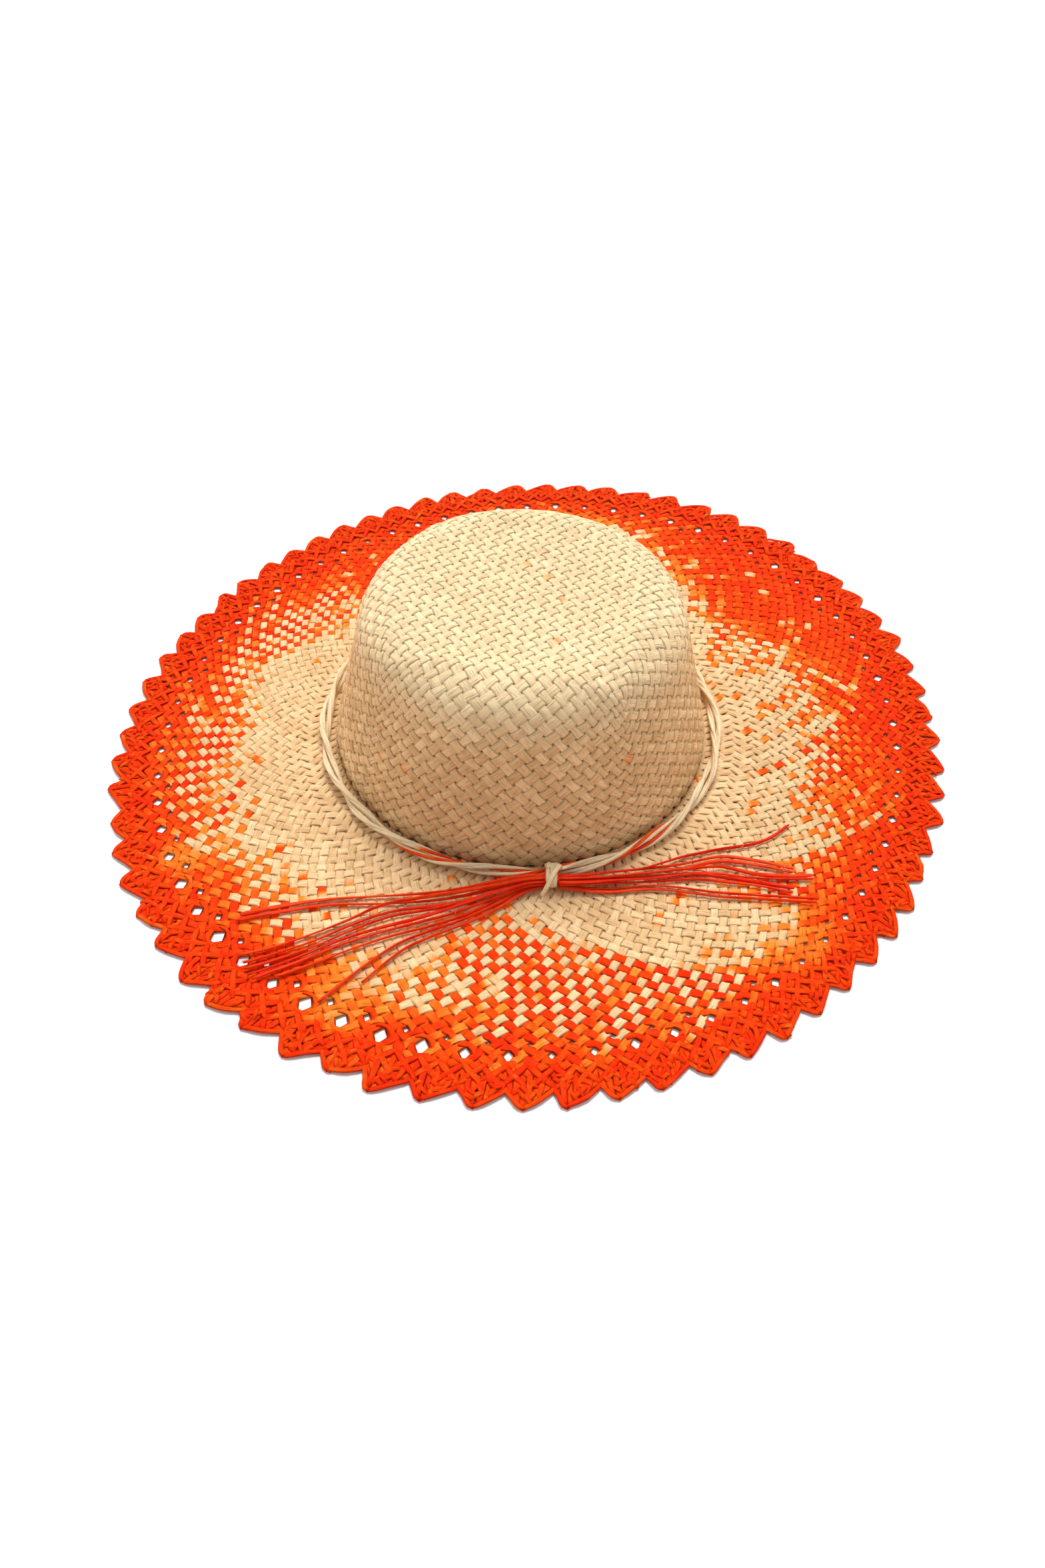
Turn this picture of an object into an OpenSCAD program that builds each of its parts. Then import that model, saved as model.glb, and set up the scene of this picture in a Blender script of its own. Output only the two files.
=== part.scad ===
// Wide-brimmed plaited straw sun hat with a toothed edge and a loose hat cord.
// Millimetres, +Z up. The origin is on the table under the middle of the brim,
// and the front of the hat, with the knot of the cord, faces -Y.

/* [Brim] */
// Diameter of the whole hat, from tooth tip to tooth tip
hat_d = 420; // [340:1:520]
// Thickness of the plaited straw of the brim
brim_t = 1.4; // [0.8:0.1:3]
// How far the brim climbs from its plaited edge to the crown
brim_rise = 3.2; // [0:0.1:30]
// Gap between the table and the parts of the brim that don't rest on it
table_gap = 0.2; // [0.1:0.05:2]

/* [Openwork edge] */
// Width of the ring of eyelets outside the plaited brim
openwork_w = 14; // [11:0.5:24]
// Number of eyelets in each row, and of teeth on the edge
tooth_count = 68; // [36:4:80]
// Distance from the plait to the middle of the small eyelets
small_row = 3; // [2.5:0.1:4]
// Length of a small eyelet along the edge
small_eyelet_l = 4; // [1:0.1:6]
// Width of a small eyelet across the edge
small_eyelet_w = 3.4; // [1:0.1:4]
// Distance from the plait to the middle of the large eyelets
large_row = 8.4; // [7.8:0.1:12]
// Length of a large eyelet along the edge
large_eyelet_l = 6.4; // [2:0.1:8]
// Width of a large eyelet across the edge
large_eyelet_w = 5; // [2:0.1:5]

/* [Toothed edge] */
// Width of the folded braid that the hat rests on
braid_w = 8.5; // [4:0.5:16]
// Thickness of the folded braid
braid_t = 2; // [1:0.1:5]
// Length of a tooth outside the braid
tooth_l = 9.5; // [4:0.5:16]
// Thickness of a tooth
tooth_t = 1.6; // [0.8:0.1:4]
// Width of straw left between the braid and the notch of two teeth
notch_wall = 0.8; // [0.4:0.1:2]

/* [Crown] */
// Outer diameter of the crown at its foot
crown_d = 183; // [150:1:230]
// Height of the crown above its lower edge
crown_h = 87; // [60:1:120]
// Height of the upright foot of the crown, where the head goes in
foot_h = 8; // [5:0.5:14]
// Diameter of the crown where its side would meet its flat top
crown_top_d = 144; // [100:1:180]
// Radius of the rounded shoulder of the crown
shoulder_r = 20; // [8:1:25]
// Thickness of the plaited straw of the crown
crown_t = 1.4; // [0.8:0.1:3]
// Height of the crown's lower edge above the table
crown_base = 3; // [1:0.1:10]
// How far the crown sits from the brim's middle, along X
crown_x = -8; // [-15:0.5:15]
// How far the crown sits from the brim's middle, along Y
crown_y = -4; // [-15:0.5:15]

/* [Sweatband] */
// Height of the ribbon inside the crown
sweatband_h = 26; // [14:1:40]
// Thickness of the ribbon
sweatband_t = 0.7; // [0.4:0.1:1.5]
// Distance from the crown's lower edge to the ribbon
sweatband_lift = 0.6; // [0.2:0.1:2]
// Number of stitches that hold the ribbon
stitch_count = 60; // [30:2:90]
// Length of a stitch
stitch_l = 4; // [2:0.1:5]
// Thickness of the thread
thread_t = 0.4; // [0.2:0.05:0.4]
// Distance from the ribbon's lower edge to the row of stitches
stitch_row = 1.5; // [1:0.1:3]

/* [Hat cord] */
// Thickness of one ply of the cord
ply_d = 3; // [2:0.1:5]
// Gap between the two plies
ply_gap = 0.3; // [0.1:0.05:1]
// Gap between the crown and the twisted cord
cord_slack = 2.6; // [0.5:0.1:5]
// Gap between the brim and the cord that lies on it
cord_gap = 0.3; // [0.2:0.05:1]
// Number of turns that the plies make about each other
twist_turns = 8; // [4:1:12]

/* [Knot] */
// Place of the knot along X
knot_x = 8; // [0:0.5:16]
// Length of the winding along the cord
knot_l = 6; // [3:0.5:8]
// Height of the winding
knot_h = 7.2; // [6.4:0.1:9]
// Depth of the winding in front of the cord's middle
knot_depth = 5.2; // [4:0.1:7]
// Thickness of the winding's two loose ends
knot_end_d = 2; // [1:0.1:2]

/* [Tails] */
// Thickness of one strand of the tails
strand_d = 1.5; // [0.8:0.1:1.5]

/* [Hidden] */
round_faces = 96;
// The wide rings of the edge need finer circles than the crown, or their round faces part
edge_faces = 360;
tip_r = hat_d / 2;
braid_r = tip_r - tooth_l;
openwork_r = braid_r - braid_w;
weave_r = openwork_r - openwork_w;
crown_r = crown_d / 2;
crown_offset = norm([crown_x, crown_y]);
crown_top = crown_base + crown_h;
crown_top_r = crown_top_d / 2;
foot_top = crown_base + foot_h;
side_angle = atan2(crown_r - crown_top_r, crown_h - foot_h);
shoulder_x = crown_top_r - shoulder_r * (1 - sin(side_angle)) / cos(side_angle);
shoulder_z = crown_top - shoulder_r;
// Angle on the shoulder where the plait of the top turns into the side's plait
fold_angle = 50;
arc_steps = 6;
twist_r = (ply_d + ply_gap) / 2;
cord_r = crown_r + cord_slack + ply_d / 2 + twist_r;
cord_z = brim_top(crown_r) + cord_gap + ply_d / 2 + twist_r;
knot_y = crown_y - sqrt(pow(cord_r, 2) - pow(knot_x - crown_x, 2));
knot_z = brim_top(crown_r) + cord_gap + knot_h / 2;
ply_rings = 80;
tube_sides = 8;
span_steps = 3;
straw = [0.93, 0.81, 0.62];
orange = [0.95, 0.33, 0.06];
tail_red = [0.88, 0.2, 0.04];

// Routes of the loose strands: [x, y, height of the strand's middle above what it lies on].
// They leave the winding's two flat ends, fan out, and lie on the brim.
left_tails = [
    [[5, -104.4, 6.6], [-4, -105, 6.3], [-14, -107, 5.4], [-30, -110, 3], [-46, -112, 1.6],
     [-68, -114, 1.2], [-90, -116, 1.1], [-110, -120, 1.1], [-128, -125, 1.1]],
    [[5, -104.4, 5], [-4, -105, 4.6], [-16, -109, 3.2], [-30, -113, 1.8], [-46, -116, 1.2],
     [-68, -118, 1.1], [-90, -119, 1.1], [-110, -123, 1.1], [-129, -128, 1.1]],
    [[5, -106, 6.8], [-4, -107, 6.6], [-18, -110, 5.4], [-34, -113, 4], [-50, -116, 3.4],
     [-66, -120, 3.2], [-80, -127, 1.5], [-96, -135, 1.2], [-112, -142, 1.1], [-124, -146, 1.1]],
    [[5, -104.4, 3.4], [-4, -105.4, 3], [-16, -110, 1.5], [-30, -116, 1.1], [-46, -119, 1.1],
     [-62, -122, 1.1], [-78, -129, 1.1], [-94, -138, 1.1], [-110, -145, 1.1], [-122, -150, 1.1]],
    [[5, -106, 5.2], [-4, -107, 4.8], [-16, -111.5, 3.4], [-30, -117, 2.6], [-46, -121, 1.6],
     [-62, -124.5, 1.1], [-78, -132, 1.1], [-92, -140, 1.1], [-108, -147.5, 1.1], [-121, -153, 1.1]],
    [[5, -107.6, 6], [-4, -109, 5.8], [-18, -114, 4.8], [-34, -120, 3.2], [-50, -125.5, 1.6],
     [-66, -130.5, 1.1], [-82, -137, 1.1], [-98, -145.5, 1.1], [-110, -151.5, 1.1], [-119, -156, 1.1]],
    [[5, -107.6, 4.4], [-4, -109, 4.1], [-18, -115, 2.9], [-34, -122, 1.5], [-50, -127.5, 1.2],
     [-66, -133, 1.1], [-82, -139.5, 1.1], [-98, -148, 1.1], [-108, -153, 1.1], [-117, -158, 1.1]],
    [[5, -106, 3.6], [-4, -107.6, 3], [-16, -114.5, 1.2], [-30, -123, 1.1], [-46, -129.6, 1.1],
     [-62, -135, 1.1], [-78, -142, 1.1], [-92, -149, 1.1], [-107, -156, 1.1]],
    [[5, -106, 2], [-4, -108.4, 1.3], [-16, -116.6, 1.1], [-30, -125, 1.1], [-44, -131.4, 1.1],
     [-57, -138, 1.1], [-68, -147, 1.1], [-78, -157, 1.1], [-88, -168, 1.1]],
    [[5, -107.6, 2.8], [-4, -110.6, 2.2], [-14, -118, 1.2], [-28, -126.6, 1.1], [-42, -133.6, 1.1],
     [-54, -140.5, 1.1], [-63, -149, 1.1], [-71, -158, 1.1]]
];
right_tails = [
    [[11, -104.4, 6.6], [20, -103.6, 6.2], [34, -100.2, 4.8], [47, -97, 3.6], [58, -92, 2.4],
     [68, -87, 1.2], [84, -82, 1.1], [100, -78, 1.1], [110, -73, 1.1], [119, -65, 1.1]],
    [[11, -104.4, 5], [20, -102.5, 4.2], [35, -98.5, 2.8], [52, -94.5, 1.3], [68, -91, 1.1],
     [84, -86, 1.1], [96, -86.5, 1.1], [108, -88.5, 1.1], [118, -91, 1.1]],
    [[11, -104.4, 3.4], [20, -103, 2.6], [36, -99.5, 1.2], [54, -96.5, 1.1], [70, -93, 1.1],
     [84, -88.5, 1.1], [96, -89, 1.1], [108, -90.8, 1.1], [117, -93, 1.1]],
    [[11, -106, 6.8], [20, -105.2, 6.4], [38, -101.8, 4.6], [58, -97.4, 3.2], [72, -94.6, 2.8],
     [84, -91.8, 1.4], [92, -93, 1.1], [101, -95, 1.1], [114, -95.2, 1.1], [127, -94, 1.1]],
    [[11, -106, 5.2], [20, -105, 4.4], [38, -102, 2.8], [58, -98.5, 1.3], [72, -96, 1.1],
     [84, -95.6, 1.1], [96, -97, 1.1], [112, -97, 1.1], [126, -96, 1.1]],
    [[11, -107.6, 6], [20, -107, 5.6], [38, -104, 4.2], [56, -100.8, 2.8], [72, -97.5, 2.4],
     [86, -97.8, 1.3], [98, -99, 1.1], [108, -100.5, 1.1], [117, -102, 1.1]],
    [[11, -107.6, 4.4], [20, -106.8, 3.8], [38, -104.2, 2.5], [56, -101.5, 1.2], [72, -99.3, 1.1],
     [86, -100, 1.1], [98, -101, 1.1], [107, -102.4, 1.1], [116, -104.4, 1.1]],
    [[11, -106, 2], [20, -106.6, 1.3], [34, -106.5, 1.1], [48, -104.3, 1.1], [62, -104, 1.1],
     [80, -106, 1.1], [96, -106.5, 1.1], [112, -106.8, 1.1], [127, -107, 1.1]],
    [[11, -107.6, 2.8], [20, -108.5, 2.2], [34, -108.5, 1.2], [48, -106.3, 1.1], [62, -106.2, 1.1],
     [80, -108.2, 1.1], [98, -108.5, 1.1], [112, -108.8, 1.1], [125, -109, 1.1]]
];
// The two loose ends of the winding, given the same way
front_end = [[11.5, -100.5, 9.3], [9.5, -104, 9.4], [7.5, -107.6, 8.8], [6, -110.4, 6.6],
             [4.8, -111.8, 4.4], [3.6, -112.8, 2.4]];
side_end = [[12.4, -102.4, 9.2], [14.4, -101.4, 9], [17, -100.4, 8.6]];

// Height of the brim's upper face at a distance from the brim's middle
function brim_top(r) =
    table_gap + brim_t + brim_rise * (weave_r - r) / (weave_r - crown_r);

// Points of the crown's side from its lower edge to the fold, depth mm under its surface
function side_profile(depth) = concat(
    [[crown_r - depth, crown_base]],
    [[crown_r - depth, foot_top - depth * tan(side_angle / 2)]],
    [for (i = [0:arc_steps]) shoulder_point(side_angle + i * (fold_angle - side_angle) / arc_steps, depth)]
);

// Points of the crown's top from the fold to its middle, depth mm under its surface
function top_profile(depth) = concat(
    [for (i = [0:arc_steps]) shoulder_point(fold_angle + i * (90 - fold_angle) / arc_steps, depth)],
    [[0, crown_top - depth]]
);

function shoulder_point(angle, depth) = [
    shoulder_x + (shoulder_r - depth) * cos(angle),
    shoulder_z + (shoulder_r - depth) * sin(angle)
];

// Radius of the crown's tapered side at a height, depth mm under its surface
function taper_radius(z, depth) =
    crown_r - (z - foot_top) * tan(side_angle) - depth / cos(side_angle);

// The ribbon's points against the crown's inner face, depth mm under the crown's surface
function ribbon_profile(depth) =
    let (low = crown_base + sweatband_lift, high = low + sweatband_h)
    [
        [crown_r - depth, low],
        [crown_r - depth, foot_top - depth * tan(side_angle / 2)],
        [taper_radius(high, depth), high]
    ];

function reversed(list) = [for (i = [len(list) - 1:-1:0]) list[i]];

function unit(v) = v / norm(v);

// Height of what a strand lies on at a distance from the brim's middle: the brim, the ring of
// eyelets, or the braid, which a strand climbs a little before it gets there
function ground(r) =
    r < weave_r ? brim_top(r) : (r < openwork_r - strand_d ? table_gap + brim_t : braid_t);

// A route's [x, y, height] as a point in space
function placed(p) = [p[0], p[1], ground(norm([p[0], p[1]])) + p[2]];

// One point of the smooth curve through b and c, at a share of the way from b to c
function curve_point(a, b, c, d, share) =
    0.5 * (2 * b + (c - a) * share + (2 * a - 5 * b + 4 * c - d) * pow(share, 2)
        + (3 * b - a - 3 * c + d) * pow(share, 3));

// The smooth curve through a route's points
function smooth_route(route) =
    let (
        p = [for (q = route) placed(q)],
        last = len(p) - 1,
        far = concat([2 * p[0] - p[1]], p, [2 * p[last] - p[last - 1]])
    )
    concat(
        [for (i = [0:last - 1]) for (k = [0:span_steps - 1])
            curve_point(far[i], far[i + 1], far[i + 2], far[i + 3], k / span_steps)],
        [p[last]]
    );

// A flat-ended tube of tube_sides sides along a line of points
module tube(line, diameter) {
    last = len(line) - 1;
    rings = [for (i = [0:last])
        let (
            along = unit(line[min(i + 1, last)] - line[max(i - 1, 0)]),
            side = unit(cross(along, [0, 0, 1])),
            rise = cross(side, along)
        )
        for (k = [0:tube_sides - 1])
            line[i] + diameter / 2 * (side * cos(k * 360 / tube_sides) + rise * sin(k * 360 / tube_sides))
    ];
    walls = [for (i = [0:last - 1]) for (k = [0:tube_sides - 1])
        let (n = (k + 1) % tube_sides)
        [i * tube_sides + k, i * tube_sides + n, (i + 1) * tube_sides + n, (i + 1) * tube_sides + k]
    ];
    start_cap = [for (k = [tube_sides - 1:-1:0]) k];
    end_cap = [for (k = [0:tube_sides - 1]) last * tube_sides + k];
    polyhedron(points = rings, faces = concat(walls, [start_cap, end_cap]));
}

// One ply of the hat cord: a closed tube that winds round the cord's middle line
module cord_ply(phase) {
    points = [for (i = [0:ply_rings - 1])
        let (
            turn = i * 360 / ply_rings,
            wind = twist_turns * turn + phase,
            out = [cos(turn), sin(turn), 0],
            middle = (cord_r + twist_r * cos(wind)) * out + [0, 0, cord_z + twist_r * sin(wind)]
        )
        for (k = [0:tube_sides - 1])
            middle + ply_d / 2 * (out * cos(k * 360 / tube_sides) + [0, 0, sin(k * 360 / tube_sides)])
    ];
    faces = [for (i = [0:ply_rings - 1]) for (k = [0:tube_sides - 1])
        let (j = (i + 1) % ply_rings, n = (k + 1) % tube_sides)
        [i * tube_sides + k, j * tube_sides + k, j * tube_sides + n, i * tube_sides + n]
    ];
    translate([crown_x, crown_y, 0]) polyhedron(points = points, faces = faces);
}

// A six-sided eyelet, length along the edge, width across it
module eyelet(row_r, length, width) {
    translate([row_r, 0])
        polygon([
            [-width / 2, 0], [-width / 4, length / 2], [width / 4, length / 2],
            [width / 2, 0], [width / 4, -length / 2], [-width / 4, -length / 2]
        ]);
}

// Everything inside the crown, moved to the crown's middle
module at_crown() {
    translate([crown_x, crown_y, 0]) children();
}

module crown_top() {
    color(straw) at_crown() rotate_extrude($fn = round_faces)
        polygon(concat(top_profile(0), reversed(top_profile(crown_t))));
}

module crown_side() {
    color(straw) at_crown() rotate_extrude($fn = round_faces)
        polygon(concat(side_profile(0), reversed(side_profile(crown_t))));
}

module brim() {
    inner_r = crown_r - crown_offset - 1;
    color(straw) difference() {
        rotate_extrude($fn = edge_faces)
            polygon([
                [inner_r, brim_top(inner_r) - brim_t], [weave_r, table_gap],
                [weave_r, table_gap + brim_t], [inner_r, brim_top(inner_r)]
            ]);
        at_crown() cylinder(r = crown_r, h = crown_top, $fn = round_faces);
    }
}

module openwork_ring() {
    color(orange) translate([0, 0, table_gap]) linear_extrude(brim_t) difference() {
        circle(r = openwork_r, $fn = edge_faces);
        circle(r = weave_r, $fn = edge_faces);
        for (i = [0:tooth_count - 1]) {
            rotate(i * 360 / tooth_count)
                eyelet(weave_r + small_row, small_eyelet_l, small_eyelet_w);
            rotate((i + 0.5) * 360 / tooth_count)
                eyelet(weave_r + large_row, large_eyelet_l, large_eyelet_w);
        }
    }
}

module edge_braid() {
    color(orange) linear_extrude(braid_t) difference() {
        circle(r = braid_r, $fn = edge_faces);
        circle(r = openwork_r, $fn = edge_faces);
    }
}

module edge_teeth() {
    pitch = 360 / tooth_count;
    notch_r = braid_r + notch_wall;
    // One tooth: [share of the pitch, share of the way from notch to tip]
    tooth = [[-0.5, 0], [-0.34, 0.42], [-0.1, 1], [0.1, 1], [0.34, 0.42]];
    outline = [for (i = [0:tooth_count - 1]) for (p = tooth)
        let (r = notch_r + p[1] * (tip_r - notch_r) / (p[1] == 1 ? cos(0.1 * pitch) : 1))
        [r * cos((i + p[0]) * pitch), r * sin((i + p[0]) * pitch)]
    ];
    color(orange) translate([0, 0, table_gap]) linear_extrude(tooth_t) difference() {
        polygon(outline);
        circle(r = braid_r, $fn = edge_faces);
    }
}

// The row of stitches, which the ribbon's pockets are cut from as well
module stitch_ring() {
    inner_r = crown_r - crown_t - sweatband_t;
    height = crown_base + sweatband_lift + stitch_row;
    // The thread stands a little proud of the ribbon over a stitch's whole length
    proud = 0.03;
    face_x = sqrt(pow(inner_r, 2) - pow(stitch_l / 2, 2)) - proud;
    for (i = [0:stitch_count - 1])
        rotate(i * 360 / stitch_count)
            translate([face_x, -stitch_l / 2, height])
                cube([thread_t, stitch_l, thread_t]);
}

module sweatband() {
    color([0.9, 0.84, 0.74]) at_crown() difference() {
        rotate_extrude($fn = round_faces)
            polygon(concat(ribbon_profile(crown_t), reversed(ribbon_profile(crown_t + sweatband_t))));
        stitch_ring();
    }
}

module sweatband_stitches() {
    color([0.97, 0.95, 0.9]) at_crown() stitch_ring();
}

module knot_winding() {
    color(straw) translate([knot_x, knot_y, knot_z]) rotate([90, 0, 90])
        linear_extrude(knot_l, center = true) union() {
            circle(r = knot_h / 2, $fn = round_faces);
            translate([-knot_depth, 0]) circle(r = knot_h / 2, $fn = round_faces);
            translate([-knot_depth, -knot_h / 2]) square([knot_depth, knot_h]);
        }
}

module knot_end(route) {
    color(straw) tube(smooth_route(route), knot_end_d);
}

module tail(route) {
    color(tail_red) tube(smooth_route(route), strand_d);
}

crown_top();
crown_side();
brim();
openwork_ring();
edge_braid();
edge_teeth();
sweatband();
sweatband_stitches();
color(straw) cord_ply(0);  // cord_ply_a
color(straw) cord_ply(180);  // cord_ply_b
knot_winding();
knot_end(front_end);  // knot_front_end
knot_end(side_end);  // knot_side_end
for (i = [1:len(left_tails)])
    tail(left_tails[i - 1]);
for (i = [1:len(right_tails)])
    tail(right_tails[i - 1]);
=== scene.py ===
"""A plaited straw sun hat: every straw of its crown, brim and toothed edge, its cord and its tails.

Lengths are millimetres while a piece is worked out, and metres in the finished meshes.
The front of the hat, with the knot, faces -Y, and azimuths turn anticlockwise from +X.
"""
import logging
import math
from dataclasses import dataclass, field
from enum import Enum
from typing import Callable, Dict, List, Optional, Sequence, Tuple

import bmesh
import bpy
import numpy as np
from mathutils import Matrix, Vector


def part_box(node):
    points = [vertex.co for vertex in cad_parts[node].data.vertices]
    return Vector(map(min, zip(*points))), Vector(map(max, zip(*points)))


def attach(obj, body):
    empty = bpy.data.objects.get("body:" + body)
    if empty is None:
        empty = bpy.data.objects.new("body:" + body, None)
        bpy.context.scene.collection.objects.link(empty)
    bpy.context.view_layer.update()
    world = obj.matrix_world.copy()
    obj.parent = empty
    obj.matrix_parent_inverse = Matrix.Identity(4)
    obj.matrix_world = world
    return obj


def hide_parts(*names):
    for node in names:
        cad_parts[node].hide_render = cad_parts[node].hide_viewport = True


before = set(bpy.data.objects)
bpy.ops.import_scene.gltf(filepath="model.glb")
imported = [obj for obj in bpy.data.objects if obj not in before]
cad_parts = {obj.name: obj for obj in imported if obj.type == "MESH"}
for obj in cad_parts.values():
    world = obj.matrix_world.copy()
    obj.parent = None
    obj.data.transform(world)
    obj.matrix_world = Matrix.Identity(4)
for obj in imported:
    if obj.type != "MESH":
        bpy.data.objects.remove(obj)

MM = 0.001
UP = np.array([0.0, 0.0, 1.0])
HAT_BODY = "hat"
CORD_BODY = "hat_cord"
FIBRE_RUN = 10.0     # mm of straw to one unit of its fibre map
FIBRE_SHIFT = 3.7    # how far the map moves from one straw to the next

Colour = Tuple[float, float, float]
Points = Sequence[Tuple[float, ...]]

logging.basicConfig(level=logging.INFO, format="%(message)s")
log = logging.getLogger("straw_hat")


# ---------------------------------------------------------------- sizes from the frame


@dataclass(frozen=True)
class HatSizes:
    """The hat's sizes in mm, read from the boxes of its CAD nodes."""

    tip_r: float
    braid_r: float
    braid_top: float
    openwork_r: float
    weave_r: float
    crown_r: float
    crown_base: float
    crown_top: float
    crown_x: float
    crown_y: float
    cord_r: float
    cord_z: float
    brim_low: float
    crown_t: float = 1.4
    brim_t: float = 1.4
    brim_rise: float = 3.2
    foot_top: float = 11.0
    crown_top_r: float = 72.0
    shoulder_r: float = 20.0
    ply_d: float = 3.0
    twist_r: float = 1.65
    twist_turns: int = 8

    @classmethod
    def from_frame(cls) -> "HatSizes":
        """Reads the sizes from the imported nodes' boxes.

        Returns:
            The sizes of this hat.
        """
        teeth, braid = box_mm("edge_teeth"), box_mm("edge_braid")
        ring, brim = box_mm("openwork_ring"), box_mm("brim")
        side, top, ply = box_mm("crown_side"), box_mm("crown_top"), box_mm("cord_ply_a")
        return cls(
            tip_r=teeth[1][0],
            braid_r=braid[1][0],
            braid_top=braid[1][2],
            openwork_r=ring[1][0],
            weave_r=brim[1][0],
            crown_r=(side[1][0] - side[0][0]) / 2,
            crown_base=side[0][2],
            crown_top=top[1][2],
            crown_x=(side[1][0] + side[0][0]) / 2,
            crown_y=(side[1][1] + side[0][1]) / 2,
            cord_r=(ply[1][0] - ply[0][0]) / 2 - cls.ply_d / 2 - cls.twist_r,
            cord_z=(ply[1][2] + ply[0][2]) / 2,
            brim_low=brim[0][2],
        )

    @property
    def crown_middle(self) -> np.ndarray:
        """The crown's middle at height 0."""
        return np.array([self.crown_x, self.crown_y, 0.0])

    def brim_top(self, r: np.ndarray) -> np.ndarray:
        """Height of the brim's upper face.

        Args:
            r: distances from the brim's middle.
        Returns:
            The heights.
        """
        inside = np.minimum(r, self.weave_r)
        climb = self.brim_rise * (self.weave_r - inside) / (self.weave_r - self.crown_r)
        return self.brim_low + self.brim_t + climb

    def ground(self, r: float, strand: float) -> float:
        """Height of what a loose strand lies on at a distance from the brim's middle.

        Args:
            r: distance from the brim's middle.
            strand: thickness of the strand.
        Returns:
            The height of the brim, the ring of eyelets or the braid.
        """
        if r < self.openwork_r - strand:
            return float(self.brim_top(np.array(r)))
        return self.braid_top


def box_mm(node: str) -> np.ndarray:
    """Lowest and highest corner of a CAD node, in mm."""
    low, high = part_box(node)
    return np.array([low, high]) / MM


def smooth_step(x: np.ndarray) -> np.ndarray:
    """A soft step from 0 to 1 as x goes from 0 to 1."""
    t = np.clip(x, 0.0, 1.0)
    return t * t * (3 - 2 * t)


def unit(vectors: np.ndarray) -> np.ndarray:
    """The vectors at length 1."""
    return vectors / np.maximum(np.linalg.norm(vectors, axis=-1, keepdims=True), 1e-9)


def travelled(line: np.ndarray) -> np.ndarray:
    """Distance along a line at each of its points."""
    return np.concatenate([[0], np.cumsum(np.linalg.norm(np.diff(line, axis=0), axis=1))])


def smooth_line(marks: np.ndarray, stations: int) -> np.ndarray:
    """A smooth line through a few marks.

    Args:
        marks: the marks, one row each.
        stations: how many points the line has, shared evenly among the spans.
    Returns:
        The line's points.
    """
    at = np.linspace(0, len(marks) - 1, stations)
    low = np.minimum(at.astype(int), len(marks) - 2)
    t = (at - low)[:, None]
    padded = np.vstack([2 * marks[0] - marks[1], marks, 2 * marks[-1] - marks[-2]])
    a, b, c, d = padded[low], padded[low + 1], padded[low + 2], padded[low + 3]
    return 0.5 * (2 * b + (c - a) * t + (2 * a - 5 * b + 4 * c - d) * t ** 2
                  + (3 * b - a - 3 * c + d) * t ** 3)


def ring_points(radius: np.ndarray, azimuth: np.ndarray, z: np.ndarray) -> np.ndarray:
    """Points given by radius, azimuth in radians and height."""
    return np.stack([radius * np.cos(azimuth), radius * np.sin(azimuth), z], -1)


def link(name: str, mesh: bpy.types.Mesh) -> bpy.types.Object:
    """Puts a mesh in the scene as an object.

    Args:
        name: the object's name.
        mesh: its mesh.
    Returns:
        The object.
    """
    piece = bpy.data.objects.new(name, mesh)
    bpy.context.scene.collection.objects.link(piece)
    return piece


# ---------------------------------------------------------------- straws


class Section(Enum):
    """Cross-section of a straw: pairs of (across, height) round its outline."""

    FLAT = ((-1, 0), (-0.62, 0.8), (0.62, 0.8), (1, 0), (0.62, -0.8), (-0.62, -0.8))
    ROUND = ((-1, 0), (-0.5, 0.87), (0.5, 0.87), (1, 0), (0.5, -0.87), (-0.5, -0.87))


@dataclass
class Straw:
    """One straw, station by station along it.

    middle, half and out are its middle line, its half width as a vector and its outward
    direction. lift moves a station outwards, droop bends its two edges down, and dye is 0
    for natural straw and 1 for fully dyed straw.
    """

    middle: np.ndarray
    half: np.ndarray
    out: np.ndarray
    lift: np.ndarray
    droop: np.ndarray
    dye: np.ndarray
    tone: float

    @classmethod
    def free(cls, line: np.ndarray, width: np.ndarray, turn: np.ndarray, dye: np.ndarray,
             tone: float) -> "Straw":
        """A loose straw along a line of points.

        Args:
            line: its middle line.
            width: its width at each point.
            turn: how far its flat side is turned about the line, in radians.
            dye: how much it is dyed at each point.
            tone: its shade, from 0 to 1.
        Returns:
            The straw.
        """
        along = unit(np.gradient(line, axis=0))
        side = unit(np.cross(along, UP))
        rise = np.cross(side, along)
        across = side * np.cos(turn)[:, None] + rise * np.sin(turn)[:, None]
        out = np.cross(across, along)
        none = np.zeros(len(line))
        return cls(line, across * width[:, None] / 2, out, none, none, dye, tone)


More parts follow.
